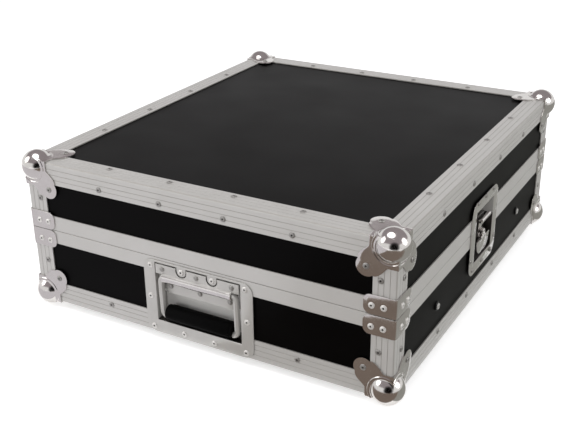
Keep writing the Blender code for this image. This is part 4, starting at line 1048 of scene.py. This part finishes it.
# butterfly latches: pressed dish and keeper, hook plate, spindle and folding wing
# heights from the spindle's axis; depths behind the case's face, so that those below 0 stand out
latchSettings = {
    "spindle": seam - 0.022,           # height of the axis
    # solid, body or None for its own, plating, edge radius, its segments,
    # and for a plate narrower than its solid, the half width kept and how far the rest moves in
    "solids": (
        ("dish", "base", latchNickel, 0.0006, 3, (0.040, 0.003)),
        ("keeper", "lid", latchNickel, 0.0006, 3, (0.040, 0.003)),
        ("spindle", None, latchNickel, 0.0003, 2, None),
        ("wing", None, latchNickel, 0.0004, 2, None),
        # the hook plate takes the painted-shade nickel
        ("hook", None, nickelPaintedShade, 0.0004, 2, (0.012, 0.003)),
    ),
    # painted shade: plating of the faces that lie deeper than this, darker than the latches' nickel
    "recesses": (("latchDish_", 0.0040, nickelPaintedShade), ("latchKeeper_", 0.0020, zinc)),
    # rolled top edge of the hook plate
    "barRadius": 0.0031,
    "barHalf": 0.0172,
    "barEnd": ((0.0, 0.0006), (0.7, 0.0003), (1.0, -0.0006)),   # share of the radius, past the half
    "barWaist": 0.93,
    "barHeight": 0.0290,
    "barDepth": -0.0020,
    "barSteps": 20,
    # the tongue over the hook plate and the web up to the roll:
    # depth and height of the lower end, of the upper end, and the half width
    "tongue": ((0.0042, 0.0110), (0.0042, 0.0252), 0.0105),
    "web": ((0.0040, 0.0238), (-0.0003, 0.0278), 0.0150),
    "tongueThickness": 0.0014,
    "tongueEdge": 0.0003,
    # cam boss: radius and height over the case's face
    "boss": ((0.0, -0.0040), (0.0050, -0.0040), (0.0053, 0.0006), (0.0049, 0.0018),
             (0.0036, 0.0024), (0.0032, 0.0018), (0.0, 0.0016)),
    "bossRise": 0.0072,
    "bossSteps": 24,
    "spring": (0.0256, 0.0062, -0.0175, 0.0212),   # offset, half width, foot and head
    "springDepth": 0.0142,
    "springThickness": 0.0009,
    "springEdge": 0.0002,
    "springSteps": 9,
    # dished washer: radius and height over its back
    "washer": ((0.0056, 0.0), (0.0092, 0.0002), (0.0104, 0.0009), (0.0106, 0.0014),
               (0.0098, 0.0016), (0.0056, 0.0012), (0.0056, 0.0)),
    "washerDepth": 0.0060,
    "washerSteps": 32,
}


def trimFlange(keep, cut):
    # the plate is narrower than its solid: past keep, it is drawn in by cut
    def reshape():
        for sign in (-1, 1):
            pick("VERT", lambda vert: sign * vert.co.y > keep)
            bpy.ops.transform.translate(value=(0, -sign * cut, 0))
    return reshape


def hookBar(s):
    # the rolled edge, with rounded ends, drawn along X
    radius, half = s["barRadius"], s["barHalf"]
    end = [(radius * share, half + past) for share, past in s["barEnd"]]
    points = [(out, -along) for out, along in end] + [(radius * s["barWaist"], 0.0)] + end[::-1]
    bar = spunProfile(points, s["barSteps"])
    bar.data.transform(Matrix.Rotation(math.radians(90), 4, "Y"))
    return bar


def makeLatch(side, s):
    face = axes(onFace(side, 0, 0, s["spindle"], 0), *faceAxes[side])

    def local(rise, depth):
        # a frame at this height over the axis and depth behind the face
        return face @ Matrix.Translation((0, rise, -depth))

    hookBody, spindleBody = "latch_hook_" + side, "latch_spindle_" + side
    for kind, body, plating, radius, segments, trim in s["solids"]:
        node = "latch_" + kind + "_" + side
        softened(node, "latch" + kind.capitalize() + "_" + side, body or node, plating, radius,
                 segments, reshape=trimFlange(*trim) if trim else None)
    # painted shade on the deeper faces of dish and keeper
    for piece, depth, plating in s["recesses"]:
        recessed = bpy.data.objects[piece + side].data
        recessed.materials.append(plating)
        for polygon in recessed.polygons:
            if abs(polygon.center.x) < halfWidth - depth:
                polygon.material_index = 1
    bar = hookBar(s)
    bar.data.transform(local(s["barHeight"], s["barDepth"]))
    finish(bar, "latchHookBar_" + side, hookBody, latchNickel)
    for part in ("tongue", "web"):
        (backDepth, foot), (frontDepth, head), half = s[part]
        slope = Vector((0, head - foot, backDepth - frontDepth))
        outline = ((-half, 0), (half, 0), (half, slope.length), (-half, slope.length))
        slope.normalize()
        lean = axes((0, 0, 0), (1, 0, 0), slope, Vector((1, 0, 0)).cross(slope))
        strip = outlinePlate(outline, s["tongueThickness"], local(foot, backDepth) @ lean)
        bevel(strip, s["tongueEdge"], 2, 50)
        finish(strip, "latchHook" + part.capitalize() + "_" + side, hookBody, latchNickel)
    boss = spunProfile(s["boss"], s["bossSteps"])
    boss.data.transform(local(s["bossRise"], 0))
    finish(boss, "latchBoss_" + side, spindleBody, latchNickel)
    offset, half, foot, head = s["spring"]
    for sign, end in ((-1, "Near"), (1, "Far")):
        outline = arcPoints((sign * offset, head - half), half, 0, 180, s["springSteps"])
        outline += arcPoints((sign * offset, foot + half), half, 180, 180, s["springSteps"])
        spring = outlinePlate(outline, s["springThickness"], local(0, s["springDepth"]))
        bevel(spring, s["springEdge"], 2, 50)
        # painted shade: dark plates on the recess floor, where it lies in shadow
        finish(spring, "latchSpring_" + side + end, "base", springPaintedShade)
    washer = spunProfile(s["washer"], s["washerSteps"])
    washer.data.transform(local(0, s["washerDepth"]))
    finish(washer, "latchWasher_" + side, spindleBody, latchNickel)


for side in ("right", "left"):
    makeLatch(side, latchSettings)
print("latches made")


# foam pad glued under the lid's roof
padCuts = 23
padLow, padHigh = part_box("lid_foam_pad")
bpy.ops.mesh.primitive_cube_add(size=1, location=[(a + b) / 2 for a, b in zip(padLow, padHigh)],
                                scale=[b - a for a, b in zip(padLow, padHigh)])
pad = bpy.context.object
bpy.ops.object.transform_apply(location=True, rotation=True, scale=True)
bpy.ops.object.mode_set(mode="EDIT")
bpy.ops.mesh.select_all(action="SELECT")
bpy.ops.mesh.subdivide(number_cuts=padCuts)
bpy.ops.object.mode_set(mode="OBJECT")
finish(pad, "lidPad", "lid", foam, angle=50)
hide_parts("lid_foam_pad")
print("foam pad made")

low, high = cadBounds
